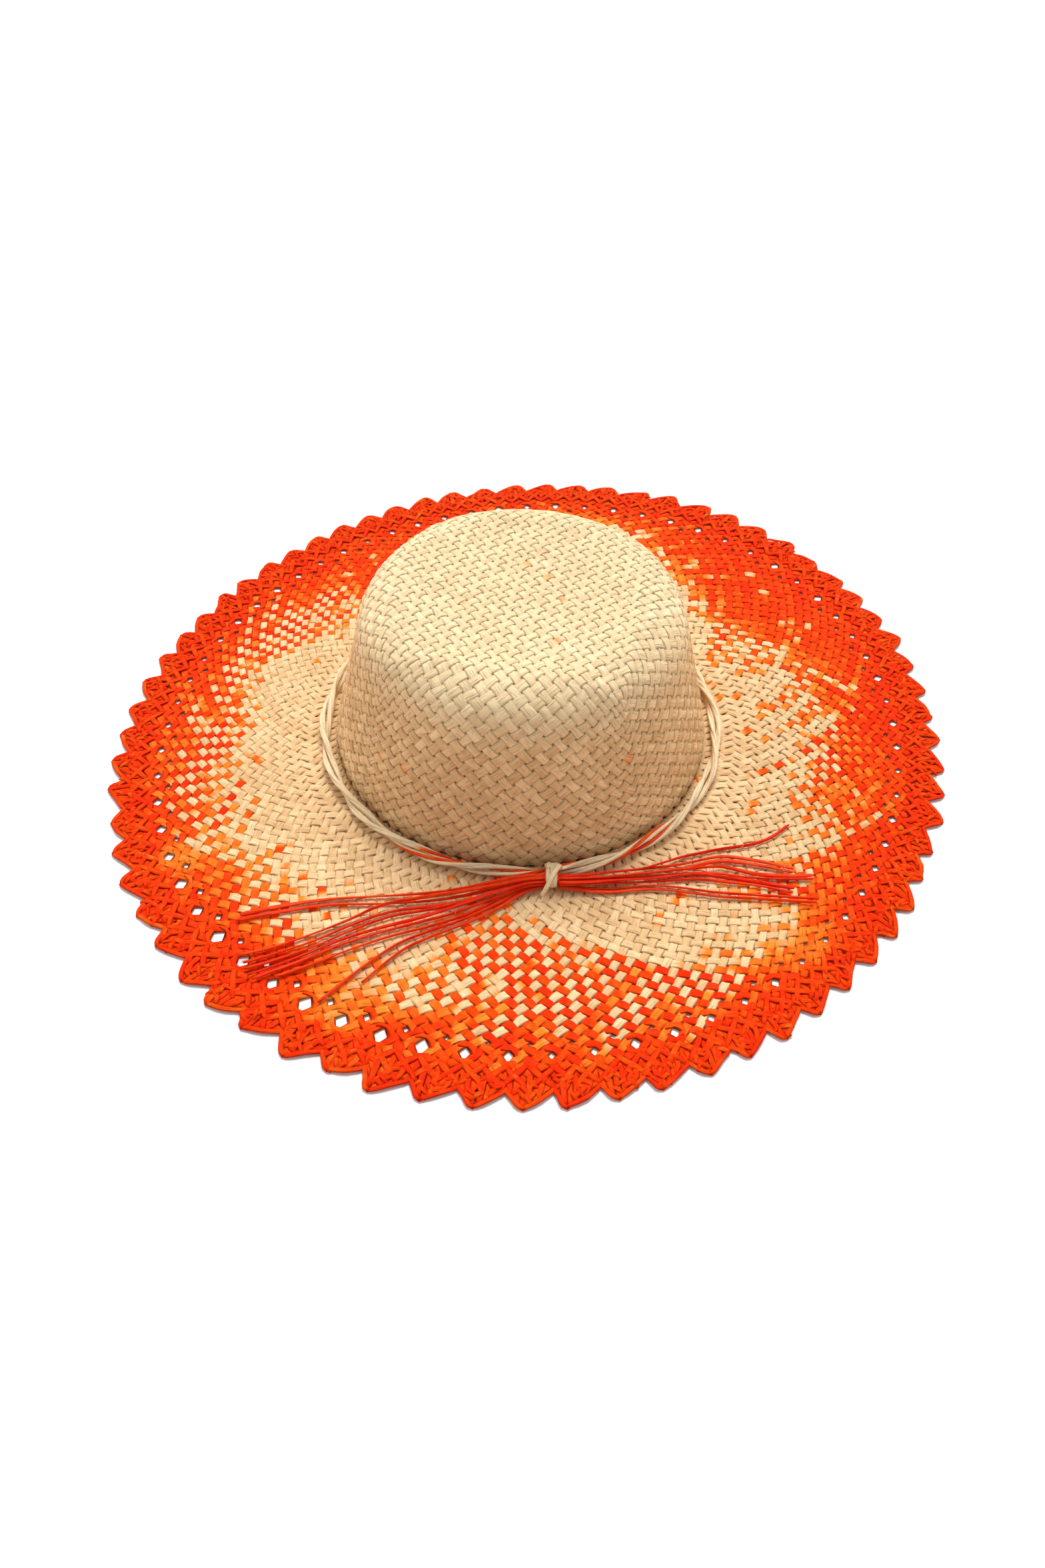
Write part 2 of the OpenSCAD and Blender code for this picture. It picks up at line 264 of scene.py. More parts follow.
@dataclass
class StrawBatch:
    """Straws that become one mesh: each is a flat grid that is wrapped round its line."""

    thickness: float
    section: Section = Section.FLAT
    straws: List[Straw] = field(default_factory=list)

    def add(self, straw: Straw) -> None:
        """Puts one more straw in the batch."""
        self.straws.append(straw)

    def build(self, name: str, shape: Optional[Callable[[np.ndarray], np.ndarray]] = None
              ) -> bpy.types.Object:
        """Makes the mesh of all straws.

        Args:
            name: the new piece's name.
            shape: moves the finished points, given and returned in mm.
        Returns:
            The new piece.
        """
        sides = len(self.section.value)
        grid = bmesh.new()
        for row, straw in enumerate(self.straws):
            bmesh.ops.create_grid(
                grid, x_segments=len(straw.middle) - 1, y_segments=sides, size=1,
                matrix=Matrix.Translation((0, 0, row)))
        mesh = bpy.data.meshes.new(name)
        grid.to_mesh(mesh)
        grid.free()
        flat = np.zeros(len(mesh.vertices) * 3)
        mesh.vertices.foreach_get("co", flat)
        flat = flat.reshape(-1, 3)
        row = np.rint(flat[:, 2]).astype(int)
        count = np.array([len(s.middle) for s in self.straws])
        start = np.concatenate([[0], np.cumsum(count)[:-1]])
        station = start[row] + np.rint((flat[:, 0] + 1) / 2 * (count[row] - 1)).astype(int)
        corner = np.rint((flat[:, 1] + 1) / 2 * sides).astype(int)

        outline = np.array(self.section.value)[corner % sides]
        across, height = outline[:, :1], outline[:, 1:]
        stack = {key: np.concatenate([getattr(s, key) for s in self.straws])
                 for key in ("middle", "half", "out", "lift", "droop", "dye")}
        rise = stack["lift"][station, None] - stack["droop"][station, None] * across ** 2
        place = (stack["middle"][station] + stack["half"][station] * across
                 + stack["out"][station] * (rise + height * self.thickness / 2))
        if shape is not None:
            place = shape(place)
        mesh.vertices.foreach_set("co", (place * MM).astype(np.float32).ravel())

        run = np.concatenate([travelled(s.middle) for s in self.straws])
        tone = np.array([s.tone for s in self.straws])[row]
        self._write(mesh, run[station] / FIBRE_RUN + FIBRE_SHIFT * row, corner / sides + row,
                    stack["dye"][station], tone)
        self._close(mesh, row, station, corner, sides)
        return link(name, mesh)

    @staticmethod
    def _write(mesh: bpy.types.Mesh, along: np.ndarray, around: np.ndarray,
               dye: np.ndarray, tone: np.ndarray) -> None:
        """Writes the straws' own map and their dye and tone to the mesh.

        Args:
            mesh: the mesh that is written to.
            along: each point's place along its straw.
            around: each point's place round its straw.
            dye: each point's dye.
            tone: each point's shade.
        """
        corners = np.zeros(len(mesh.loops), np.int32)
        mesh.loops.foreach_get("vertex_index", corners)
        uv = mesh.uv_layers.new(name="straw")
        uv.data.foreach_set(
            "uv", np.stack([along[corners], around[corners]], 1).astype(np.float32).ravel())
        for key, values in (("dye", dye), ("tone", tone)):
            mesh.attributes.new(key, "FLOAT", "POINT").data.foreach_set(
                "value", values.astype(np.float32))

    @staticmethod
    def _close(mesh: bpy.types.Mesh, row: np.ndarray, station: np.ndarray,
               corner: np.ndarray, sides: int) -> None:
        """Joins each straw's long seam and fills its two ends.

        Args:
            mesh: the mesh of flat grids, already in place.
            row: which straw each point belongs to.
            station: each point's station.
            corner: each point's corner of the cross-section.
            sides: how many corners a cross-section has.
        """
        first = {(int(r), int(s)): i
                 for i, (r, s, c) in enumerate(zip(row, station, corner)) if c == 0}
        body = bmesh.new()
        body.from_mesh(mesh)
        body.verts.ensure_lookup_table()
        seam = {body.verts[int(i)]: body.verts[first[(int(row[i]), int(station[i]))]]
                for i in np.flatnonzero(corner == sides)}
        bmesh.ops.weld_verts(body, targetmap=seam)
        rims = [edge for edge in body.edges if edge.is_boundary]
        bmesh.ops.holes_fill(body, edges=rims, sides=sides)
        bmesh.ops.recalc_face_normals(body, faces=body.faces)
        for face in body.faces:
            face.smooth = True
        body.to_mesh(mesh)
        body.free()


# ---------------------------------------------------------------- finishes


class NodeBench:
    """Places and joins the nodes of one material or group."""

    def __init__(self, tree: bpy.types.NodeTree) -> None:
        """Starts with an empty tree."""
        self.tree = tree
        tree.nodes.clear()

    def add(self, kind: str, inputs: Optional[Dict[object, object]] = None,
            **settings: object) -> bpy.types.Node:
        """Adds a node.

        Args:
            kind: the node's type, without its ShaderNode prefix.
            inputs: by input name or number, a value, or a socket to join to it.
            settings: the node's own properties.
        Returns:
            The new node.
        """
        prefix = "" if kind.startswith("NodeGroup") else "ShaderNode"
        node = self.tree.nodes.new(prefix + kind)
        for key, value in settings.items():
            setattr(node, key, value)
        for key, value in (inputs or {}).items():
            if isinstance(value, bpy.types.NodeSocket):
                self.tree.links.new(value, node.inputs[key])
            else:
                node.inputs[key].default_value = value
        return node

    def math(self, operation: str, *values: object) -> bpy.types.NodeSocket:
        """A sum, product or other number, clamped nowhere."""
        node = self.add("Math", dict(enumerate(values)), operation=operation)
        return node.outputs[0]

    def mix(self, share: object, first: object, second: object) -> bpy.types.NodeSocket:
        """A blend of two colours by a share from 0 to 1."""
        node = self.add("Mix", {0: share, 6: first, 7: second}, data_type="RGBA")
        return node.outputs[2]


def straw_fibre_group() -> bpy.types.NodeTree:
    """The fine lengthwise fibres of one straw, which every straw finish uses.

    Returns:
        The group, with the inputs Coarse and Fine, which are fibres across a straw, and the
        outputs Streak, Patch, Whole, which is 0 in a split, and Height, all from 0 to 1.
    """
    found = bpy.data.node_groups.get("straw_fibre")
    if found:
        return found
    group = bpy.data.node_groups.new("straw_fibre", "ShaderNodeTree")
    bench = NodeBench(group)
    for key, value in (("Coarse", 7.0), ("Fine", 26.0)):
        group.interface.new_socket(key, in_out="INPUT", socket_type="NodeSocketFloat"
                                   ).default_value = value
    for key in ("Streak", "Patch", "Whole", "Height"):
        group.interface.new_socket(key, in_out="OUTPUT", socket_type="NodeSocketFloat")
    given = group.nodes.new("NodeGroupInput")
    result = group.nodes.new("NodeGroupOutput")
    place = bench.add("UVMap", uv_map="straw")
    parts = bench.add("SeparateXYZ", {0: place.outputs[0]})
    along, around = parts.outputs[0], parts.outputs[1]

    def fibres(stretch: float, count: object) -> bpy.types.NodeSocket:
        """Noise that is long along the straw and short across it.

        Args:
            stretch: how fast it changes along the straw.
            count: how many fibres it has across the straw.
        Returns:
            The noise, spread from 0 to 1.
        """
        where = bench.add("CombineXYZ", {0: bench.math("MULTIPLY", along, stretch),
                                         1: bench.math("MULTIPLY", around, count)})
        noise = bench.add("TexNoise", {"Vector": where.outputs[0], "Scale": 1.0,
                                       "Detail": 2.0, "Roughness": 0.6})
        return bench.add("MapRange", {0: noise.outputs[0], 1: 0.33, 2: 0.67}).outputs[0]

    coarse, fine = fibres(0.9, given.outputs["Coarse"]), fibres(1.6, given.outputs["Fine"])
    patch = fibres(1.3, 1.3)
    streak = bench.math("ADD", bench.math("MULTIPLY", coarse, 0.6),
                        bench.math("MULTIPLY", fine, 0.4))
    group.links.new(streak, result.inputs["Streak"])
    group.links.new(patch, result.inputs["Patch"])
    group.links.new(bench.add("MapRange", {0: fine, 1: 0.02, 2: 0.34}).outputs[0],
                    result.inputs["Whole"])
    group.links.new(bench.math("ADD", coarse, bench.math("MULTIPLY", fine, 0.5)),
                    result.inputs["Height"])
    return group


@dataclass(frozen=True)
class StrawFinish:
    """Matt straw that goes from its natural colour to its dye, with fibres along it."""

    name: str
    pale: Colour = (0.94, 0.66, 0.37)
    dark: Colour = (0.56, 0.31, 0.115)
    light_dye: Colour = (0.98, 0.27, 0.025)
    mid_dye: Colour = (0.96, 0.072, 0.0012)
    full_dye: Colour = (0.84, 0.027, 0.0006)
    split: Colour = (0.40, 0.21, 0.07)
    # painted light: the straw is paler towards the top of the crown, by height
    lit_top: Optional[Colour] = None
    lit_top_dark: Colour = (0.72, 0.49, 0.26)
    lit_top_from: float = 0.062
    lit_top_full: float = 0.088
    roughness: float = 0.62
    gloss: float = 0.05
    relief: float = 0.7
    coarse: float = 7.0
    fine: float = 26.0

    def material(self) -> bpy.types.Material:
        """Builds the material once and hands it out after that.

        Returns:
            The finish's material.
        """
        found = bpy.data.materials.get(self.name)
        if found:
            return found
        made = bpy.data.materials.new(self.name)
        made.use_nodes = True
        bench = NodeBench(made.node_tree)
        fibre = bench.add("Group", node_tree=straw_fibre_group())
        fibre.inputs["Coarse"].default_value = self.coarse
        fibre.inputs["Fine"].default_value = self.fine
        dye = bench.add("Attribute", attribute_name="dye").outputs["Fac"]
        tone = bench.add("Attribute", attribute_name="tone").outputs["Fac"]
        whole = bench.math("MULTIPLY_ADD", fibre.outputs["Whole"], 0.5, 0.5)
        natural = self.natural(bench, fibre, tone, whole)
        dyed = self.dyed(bench, fibre, dye, tone, whole)
        taken = bench.add("MapRange", {0: dye, 1: 0.02, 2: 0.35}).outputs[0]
        colour = bench.mix(taken, natural, dyed)
        rough = bench.add("MapRange", {0: fibre.outputs["Streak"], 3: self.roughness + 0.1,
                                       4: self.roughness - 0.1}).outputs[0]
        bump = bench.add("Bump", {"Strength": self.relief, "Distance": 0.00035,
                                  "Height": fibre.outputs["Height"]})
        shader = bench.add("BsdfPrincipled", {
            "Base Color": colour, "Roughness": rough, "Normal": bump.outputs[0],
            "Specular IOR Level": self.gloss})
        bench.add("OutputMaterial", {0: shader.outputs[0]})
        return made

    def natural(self, bench: NodeBench, fibre: bpy.types.Node, tone: bpy.types.NodeSocket,
                whole: bpy.types.NodeSocket) -> bpy.types.NodeSocket:
        """The undyed straw's colour, dark in its splits.

        Args:
            bench: the material's nodes.
            fibre: the fibre group's node.
            tone: the straw's tone.
            whole: 0 in a deep split, 1 on sound straw.
        Returns:
            The colour.
        """
        shade = bench.math("ADD", bench.math("MULTIPLY", tone, 0.42),
                           bench.math("MULTIPLY", fibre.outputs["Streak"], 0.38))
        shade = bench.math("ADD", shade,
                           bench.math("MULTIPLY_ADD", fibre.outputs["Patch"], 0.22, 0.1))
        colour = bench.mix(shade, (*self.dark, 1), (*self.pale, 1))
        # painted light: paler straw towards the top of the crown
        if self.lit_top:
            colour = self.paint_lit_top(bench, shade, colour)
        return bench.mix(whole, (*self.split, 1), colour)

    def dyed(self, bench: NodeBench, fibre: bpy.types.Node, dye: bpy.types.NodeSocket,
             tone: bpy.types.NodeSocket, whole: bpy.types.NodeSocket) -> bpy.types.NodeSocket:
        """The dyed straw's colour: yellow-orange where the dye is weak, red where it is deep.

        Args:
            bench: the material's nodes.
            fibre: the fibre group's node.
            dye: how much dye there is.
            tone: the straw's tone.
            whole: 0 in a deep split, 1 on sound straw.
        Returns:
            The colour.
        """
        vary = bench.math("ADD", bench.math("MULTIPLY", tone, 0.42),
                          bench.math("MULTIPLY", fibre.outputs["Patch"], 0.36))
        depth = bench.math("MULTIPLY", dye, bench.math("ADD", vary, 0.44))
        ramp = bench.add("ValToRGB", {0: depth})
        ramp.color_ramp.elements[0].position = 0.25
        ramp.color_ramp.elements[0].color = (*self.light_dye, 1)
        ramp.color_ramp.elements[1].position = 1.0
        ramp.color_ramp.elements[1].color = (*self.full_dye, 1)
        middle = ramp.color_ramp.elements.new(0.62)
        middle.color = (*self.mid_dye, 1)
        sound = bench.math("ADD", bench.math("MULTIPLY", whole, 0.7),
                           bench.math("MULTIPLY", tone, 0.25))
        sound = bench.math("MULTIPLY_ADD", fibre.outputs["Streak"], 0.3, sound)
        sound = bench.math("MINIMUM", sound, 1.0)
        deep = (self.full_dye[0] * 0.5, self.full_dye[1] * 0.35, 0.001, 1)
        return bench.mix(sound, deep, ramp.outputs[0])

    def paint_lit_top(self, bench: NodeBench, shade: bpy.types.NodeSocket,
               natural: bpy.types.NodeSocket) -> bpy.types.NodeSocket:
        """Paints light on the straw towards the top of the crown: painted light, paler by height.

        Args:
            bench: the material's nodes.
            shade: the straw's shade.
            natural: its colour lower down.
        Returns:
            The colour with the painted light.
        """
        place = bench.add("TexCoord").outputs["Object"]
        height = bench.add("SeparateXYZ", {0: place}).outputs[2]
        share = bench.add("MapRange", {0: height, 1: self.lit_top_from,
                                       2: self.lit_top_full}).outputs[0]
        top = bench.mix(shade, (*self.lit_top_dark, 1), (*self.lit_top, 1))
        return bench.mix(share, natural, top)


@dataclass(frozen=True)
class RibbonFinish:
    """Woven ribbon with fine ribs across it, for the sweatband."""

    name: str = "ribbed_ribbon"
    colour: Colour = (0.80, 0.71, 0.56)
    shadow: Colour = (0.62, 0.52, 0.38)
    ribs: float = 150.0

    def material(self) -> bpy.types.Material:
        """Builds the material.

        Returns:
            The ribbon's material.
        """
        made = bpy.data.materials.new(self.name)
        made.use_nodes = True
        bench = NodeBench(made.node_tree)
        place = bench.add("UVMap", uv_map="ribbon")
        parts = bench.add("SeparateXYZ", {0: place.outputs[0]})
        rib = bench.math("MULTIPLY_ADD", bench.math(
            "SINE", bench.math("MULTIPLY", parts.outputs[0], self.ribs * 2 * math.pi)), 0.5, 0.5)
        cloud = bench.add("TexNoise", {"Vector": place.outputs[0], "Scale": 9.0, "Detail": 4.0})
        tint = bench.math("MULTIPLY_ADD", cloud.outputs[0], 0.6, bench.math("MULTIPLY", rib, 0.4))
        colour = bench.mix(tint, (*self.shadow, 1), (*self.colour, 1))
        bump = bench.add("Bump", {"Strength": 0.6, "Distance": 0.0003, "Height": rib})
        shader = bench.add("BsdfPrincipled", {
            "Base Color": colour, "Roughness": 0.72, "Normal": bump.outputs[0],
            "Sheen Weight": 0.3, "Sheen Roughness": 0.4})
        bench.add("OutputMaterial", {0: shader.outputs[0]})
        return made


# The crown's straw gets painted light, paler towards its top.
CROWN_FINISH = StrawFinish("crown_straw", pale=(0.97, 0.69, 0.37), dark=(0.50, 0.26, 0.085),
                           lit_top=(0.97, 0.78, 0.48), relief=0.9)
PLAIT_FINISH = StrawFinish("plaited_straw")
EDGE_FINISH = StrawFinish("edge_straw", relief=0.9, roughness=0.55)
CORD_FINISH = StrawFinish("cord_raffia", pale=(0.98, 0.80, 0.52), dark=(0.72, 0.48, 0.23),
                          roughness=0.52, gloss=0.15, coarse=7.0, fine=20.0)
TAIL_FINISH = StrawFinish("tail_raffia", light_dye=(0.98, 0.15, 0.003),
                          mid_dye=(0.97, 0.060, 0.001), full_dye=(0.86, 0.020, 0.0005),
                          roughness=0.42, gloss=0.16, coarse=5.0, fine=14.0)
THREAD_FINISH = StrawFinish("stitch_thread", pale=(0.92, 0.88, 0.78), dark=(0.72, 0.64, 0.5),
                            coarse=3.0, fine=9.0)


def dress(piece: bpy.types.Object, finish: StrawFinish, body: str,
          replaces: Sequence[str] = ()) -> bpy.types.Object:
    """Gives a piece its finish, its body and the CAD nodes that it stands for.

    Args:
        piece: the finished piece.
        finish: what it is made of.
        body: the CAD body that it moves with.
        replaces: the CAD nodes that it stands for.
    Returns:
        The piece.
    """
    piece.data.materials.append(finish.material())
    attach(piece, body)
    if replaces:
        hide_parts(*replaces)
    return piece


# ---------------------------------------------------------------- crown


@dataclass
class CrownPlait:
    """The crown: a square mat on top whose straws fold down its side at three-way corners."""

    sizes: HatSizes
    half_mat: int = 18
    wall_rows: int = 28
    corner_reach: float = 76.5
    front_azimuth: float = -99.0
    straw_t: float = 0.75
    lift: float = 0.42
    edge_droop: float = 0.26
    tightness: float = 0.95
    ridge: float = 0.9
    edge_gap: float = 0.3
    reach_scatter: float = 0.26
    side_scatter: float = 0.28
    height_scatter: float = 0.08
    fleck_share: float = 0.03
    fleck_dye: float = 0.22
    stations_per_cell: int = 4

    def outline(self) -> Tuple[float, float, float, float]:
        """The crown's outline, cut through its middle.

        Returns:
            The wall's lean in radians, and how long the flat top's half, the rounded
            shoulder and the leaning wall are.
        """
        s = self.sizes
        lean = math.atan2(s.crown_r - s.crown_top_r, s.crown_top - s.foot_top)
        flat = s.crown_top_r - s.shoulder_r * (1 - math.sin(lean)) / math.cos(lean)
        arc = s.shoulder_r * (math.pi / 2 - lean)
        low_z = s.crown_top - s.shoulder_r + s.shoulder_r * math.sin(lean)
        return lean, flat, arc, (low_z - s.foot_top) / math.cos(lean)

    def profile(self, reach: np.ndarray) -> Tuple[np.ndarray, np.ndarray, np.ndarray]:
        """Places on the crown, by how far they are over the surface from its middle.

        Args:
            reach: distances over the surface.
        Returns:
            Radius and height of the plait's middle, and the slope of the outward direction.
        """
        s = self.sizes
        lean, flat, arc, wall = self.outline()
        turn = np.clip((reach - flat) / s.shoulder_r, 0, math.pi / 2 - lean)
        down = np.clip(reach - flat - arc, 0, wall)
        foot = np.maximum(reach - flat - arc - wall, 0)
        r = np.minimum(reach, flat) + s.shoulder_r * np.sin(turn) + down * math.sin(lean)
        z = (s.crown_top - s.shoulder_r + s.shoulder_r * np.cos(turn)
             - down * math.cos(lean) - foot)
        tilt = np.where(foot > 0, 0.0, math.pi / 2 - turn)
        depth = s.crown_t / 2
        return r - depth * np.cos(tilt), z - depth * np.sin(tilt), tilt

    def full_reach(self) -> float:
        """Distance over the surface from the crown's middle to just above its lower edge."""
        _, flat, arc, wall = self.outline()
        return flat + arc + wall + self.sizes.foot_top - self.sizes.crown_base - self.edge_gap

    def knots(self) -> Tuple[Dict[Tuple, int], List[Tuple[float, float, int, int]]]:
        """The places where four straws meet.

        Returns:
            Each place's number by its key, and its reach, azimuth, colour (0 or 1) and how
            many straws it is from the fold.
        """
        n, rows = self.half_mat, self.wall_rows
        pitch = self.corner_reach / n
        number: Dict[Tuple, int] = {}
        spots: List[Tuple[float, float, int, int]] = []
        turn = math.radians(self.front_azimuth - 45)
        for a in range(-n, n + 1):
            for b in range(-n, n + 1):
                if max(abs(a + b), abs(a - b)) < n:
                    number[("mat", a, b)] = len(spots)
                    spots.append((pitch * math.hypot(a, b), math.atan2(b, a) + turn,
                                  (a + b) % 2, n - max(abs(a + b), abs(a - b))))
        full = self.full_reach()
        for t in range(rows + 1):
            for c in range(-n, 7 * n):
                if (c - n - t) % 2:
                    continue
                side, q = divmod(c + n, 2 * n)
                q -= n
                share, down = q / n, t / rows
                fold = math.pi / 4 + side * math.pi / 2 + math.atan(share)
                foot = math.pi / 4 + side * math.pi / 2 + share * math.pi / 4
                blend = min(1.0, 1.6 * down)
                start = self.corner_reach * math.sqrt((1 + share * share) / 2)
                number[("wall", t, c % (8 * n))] = len(spots)
                spots.append((start + (full - start) * down,
                              fold + (foot - fold) * blend + turn, (n + t) % 2, t))
        return number, spots

    def cells(self, number: Dict[Tuple, int]) -> List[Tuple[Tuple[int, ...], bool]]:
        """The crossings of two straws.

        Args:
            number: the places' numbers by key.
        Returns:
            Each crossing's four places in order, and whether it is on the side.
        """
        n, rows = self.half_mat, self.wall_rows
        around = 8 * n

        def mat_place(a: int, b: int) -> Optional[int]:
            """A place of the mat, or of its fold.

            Args:
                a: steps along the first family of straws.
                b: steps along the second family.
            Returns:
                The place's number, or None outside the mat.
            """
            if max(abs(a + b), abs(a - b)) < n:
                return number[("mat", a, b)]
            if max(abs(a + b), abs(a - b)) > n:
                return None
            for side, (p, q) in enumerate(((a + b, b - a), (b - a, -a - b),
                                           (-a - b, a - b), (a - b, a + b))):
                if p == n:
                    return number[("wall", 0, (2 * n * side + q) % around)]
            return None

        found = []
        for a in range(-n, n):
            for b in range(-n, n):
                four = [mat_place(a, b), mat_place(a + 1, b), mat_place(a + 1, b + 1),
                        mat_place(a, b + 1)]
                if None not in four:
                    found.append((tuple(four), False))
        inward = {0: (1, 1), 1: (-1, 1), 2: (-1, -1), 3: (1, -1)}
        for t in range(rows):
            for c in range(around):
                if (c - n - t) % 2 == 0:
                    continue
                if t == 0:
                    side, q = divmod((c + n) % around, 2 * n)
                    q -= n
                    ux, uy = inward[side]
                    wx, wy = -uy, ux
                    a = (ux * (n - 1) + wx * q) // 2
                    b = (uy * (n - 1) + wy * q) // 2
                    above = number[("mat", a, b)]
                else:
                    above = number[("wall", t - 1, c)]
                found.append(((number[("wall", t + 1, c)], number[("wall", t, (c + 1) % around)],
                               above, number[("wall", t, (c - 1) % around)]), t > 0))
        return found

    def runs(self) -> List[List[Tuple[int, int, int, int, bool, bool]]]:
        """Every straw as the crossings that it passes.

        Returns:
            For each straw, its crossings: the two places it enters between, the two it
            leaves between, whether it is over, and whether the crossing is on the side.
        """
        number, spots = self.knots()
        cells = self.cells(number)
        by_edge: Dict[frozenset, List[int]] = {}
        for i, (four, _) in enumerate(cells):
            for k in range(4):
                by_edge.setdefault(frozenset((four[k], four[(k + 1) % 4])), []).append(i)
        found, used = [], set()
        for edge, owners in by_edge.items():
            if len(owners) != 1 or edge in used:
                continue
            cell, run = owners[0], []
            while True:
                four, on_side = cells[cell]
                k = next(k for k in range(4)
                         if frozenset((four[k], four[(k + 1) % 4])) == edge)
                v = [four[(k + j) % 4] for j in range(4)]
                over = spots[v[0]][2] == 0
                run.append((v[0], v[1], v[3], v[2], over, on_side))
                used.add(edge)
                edge = frozenset((v[2], v[3]))
                used.add(edge)
                onward = [i for i in by_edge[edge] if i != cell]
                if not onward:
                    break
                cell = onward[0]
            found.append(run)
        return found

    def straw(self, run: List[Tuple[int, int, int, int, bool, bool]], place: np.ndarray,
              out: np.ndarray, fleck: float, tone: float) -> Straw:
        """Makes one straw from a stretch of crossings.

        Args:
            run: the crossings, in order.
            place: the places' points.
            out: the places' outward directions.
            fleck: dye of one short spot on it, or 0.
            tone: its shade.
        Returns:
            The straw.
        """
        pairs = [(step[0], step[1]) for step in run] + [(run[-1][2], run[-1][3])]
        marks = [(place[left] + place[right]) / 2 for left, right in pairs]
        halves = [(place[right] - place[left]) / 2 for left, right in pairs]
        outs = [out[left] + out[right] for left, right in pairs]
        at = np.linspace(0, len(run), len(run) * self.stations_per_cell + 1)
        ends = np.arange(len(run) + 1)

        def spread(values: List[np.ndarray]) -> np.ndarray:
            """The values at every station."""
            table = np.array(values)
            return np.stack([np.interp(at, ends, table[:, k]) for k in range(3)], 1)

        sign = np.array([1.0 if step[4] else -1.0 for step in run])
        wave = sign[np.minimum(at.astype(int), len(run) - 1)] * np.sin(np.pi * (at % 1.0))
        middle = spread(marks)
        ease = np.zeros_like(middle)
        ease[1:-1] = (middle[:-2] + middle[2:]) / 2 - middle[1:-1]
        dye = fleck * np.exp(-((at - len(run) * 0.6) / 0.7) ** 2)
        pinch = self.tightness + 0.035 * np.sin(at * 1.9 + tone * 40)
        rise = self.lift * (1 + 0.25 * np.sin(at * 2.3 + tone * 60))
        return Straw(middle + ease * 0.5, spread(halves) * pinch[:, None], unit(spread(outs)),
                     wave * rise, wave * self.edge_droop, dye, tone)

    def build(self, rng: np.random.Generator) -> List[bpy.types.Object]:
        """Makes the crown's two pieces.

        Args:
            rng: the source of the straws' shades.
        Returns:
            The top and the side.
        """
        _, spots = self.knots()
        reach = np.array([p[0] for p in spots])
        azimuth = np.array([p[1] for p in spots])
        from_fold = np.array([p[3] for p in spots])
        inside = smooth_step((self.full_reach() - reach) / 8)
        scatter = rng.normal(0, self.reach_scatter, len(reach))
        r, z, tilt = self.profile(reach + scatter * inside)
        azimuth = azimuth + rng.normal(0, self.side_scatter, len(r)) / np.maximum(r, 12)
        out = ring_points(np.cos(tilt), azimuth, np.sin(tilt))
        place = self.sizes.crown_middle + ring_points(r, azimuth, z)
        bulge = self.ridge * np.exp(-(from_fold / 1.6) ** 2)
        place += out * (bulge + rng.normal(0, self.height_scatter, len(r)) * inside)[:, None]
        batches = {False: StrawBatch(self.straw_t), True: StrawBatch(self.straw_t)}
        for run in self.runs():
            tone = float(rng.uniform(0, 1))
            cuts = [0] + [i for i in range(1, len(run)) if run[i][5] != run[i - 1][5]]
            for low, high in zip(cuts, cuts[1:] + [len(run)]):
                fleck = self.fleck_dye if rng.uniform() < self.fleck_share else 0.0
                batches[run[low][5]].add(self.straw(run[low:high], place, out, fleck, tone))
        return [dress(batches[on_side].build(f"{node}_straws"), CROWN_FINISH,
                      HAT_BODY, [node])
                for on_side, node in ((False, "crown_top"), (True, "crown_side"))]


# ---------------------------------------------------------------- brim


class Hand(Enum):
    """Which way a family of brim straws turns as it runs outwards."""

    LEFT = 1
    RIGHT = -1


@dataclass
class DyeStarts:
    """Where the brim's straws turn orange.

    marks gives the radius in mm by azimuth at the rim in degrees, and singles the radius of
    straws that differ from their neighbours.
    """

    marks: Points
    scatter: float
    singles: Dict[float, float] = field(default_factory=dict)

    def radius(self, azimuth: float, pitch: float, rng: np.random.Generator) -> float:
        """Radius at which the straw that ends at an azimuth starts to be dyed.

        Args:
            azimuth: where the straw reaches the rim, in degrees.
            pitch: angle between two straws, in degrees.
            rng: the source of the scatter.
        Returns:
            The radius in mm.
        """
        turn = (azimuth + 180) % 360 - 180
        angles, radii = zip(*self.marks)
        start = float(np.interp(turn, angles, radii)) + float(rng.normal(0, self.scatter))
        for single, radius in self.singles.items():
            if abs(turn - single) <= pitch / 2:
                start = radius
        return start


LEFT_HAND_DYE = DyeStarts(
    marks=((-180, 141), (-156, 144), (-149, 152), (-136, 152), (-122, 147), (-113, 160),
           (-105, 157), (-99, 154), (-92, 147), (-85, 136), (-78, 122), (-70, 112),
           (-62, 117), (-57, 146), (-52, 165), (-36, 160), (-31, 134), (-25, 136), (-19, 148),
           (-8, 142), (0, 130), (6, 134), (12, 148), (17, 148), (23, 122), (36, 138),
           (46, 120), (55, 112), (61, 115), (70, 140), (82, 168), (100, 160), (120, 150),
           (140, 130), (164, 117), (172, 128), (180, 141)),
    scatter=5.0,
    singles={-165: 136, -158: 132, -151: 138, -144.5: 130, -139: 134, -103: 140,
             -18.5: 178, 14: 112, 19: 146, 27: 146, 32: 116, 40: 146})
RIGHT_HAND_DYE = DyeStarts(
    marks=((-180, 168), (-158, 175), (-151, 166), (-135, 164), (-121, 166), (-110, 170),
           (-92, 172), (-80, 177), (-64, 176), (-56, 168), (-38, 158), (-21, 149), (-9, 150),
           (8, 144), (22, 128), (44, 141), (72, 166), (101, 160), (119, 142), (136, 160),
           (153, 172), (169, 168), (180, 168)),
    scatter=5.5,
    singles={-128: 148, -84: 150, -30: 146, 2: 130, 60: 130})


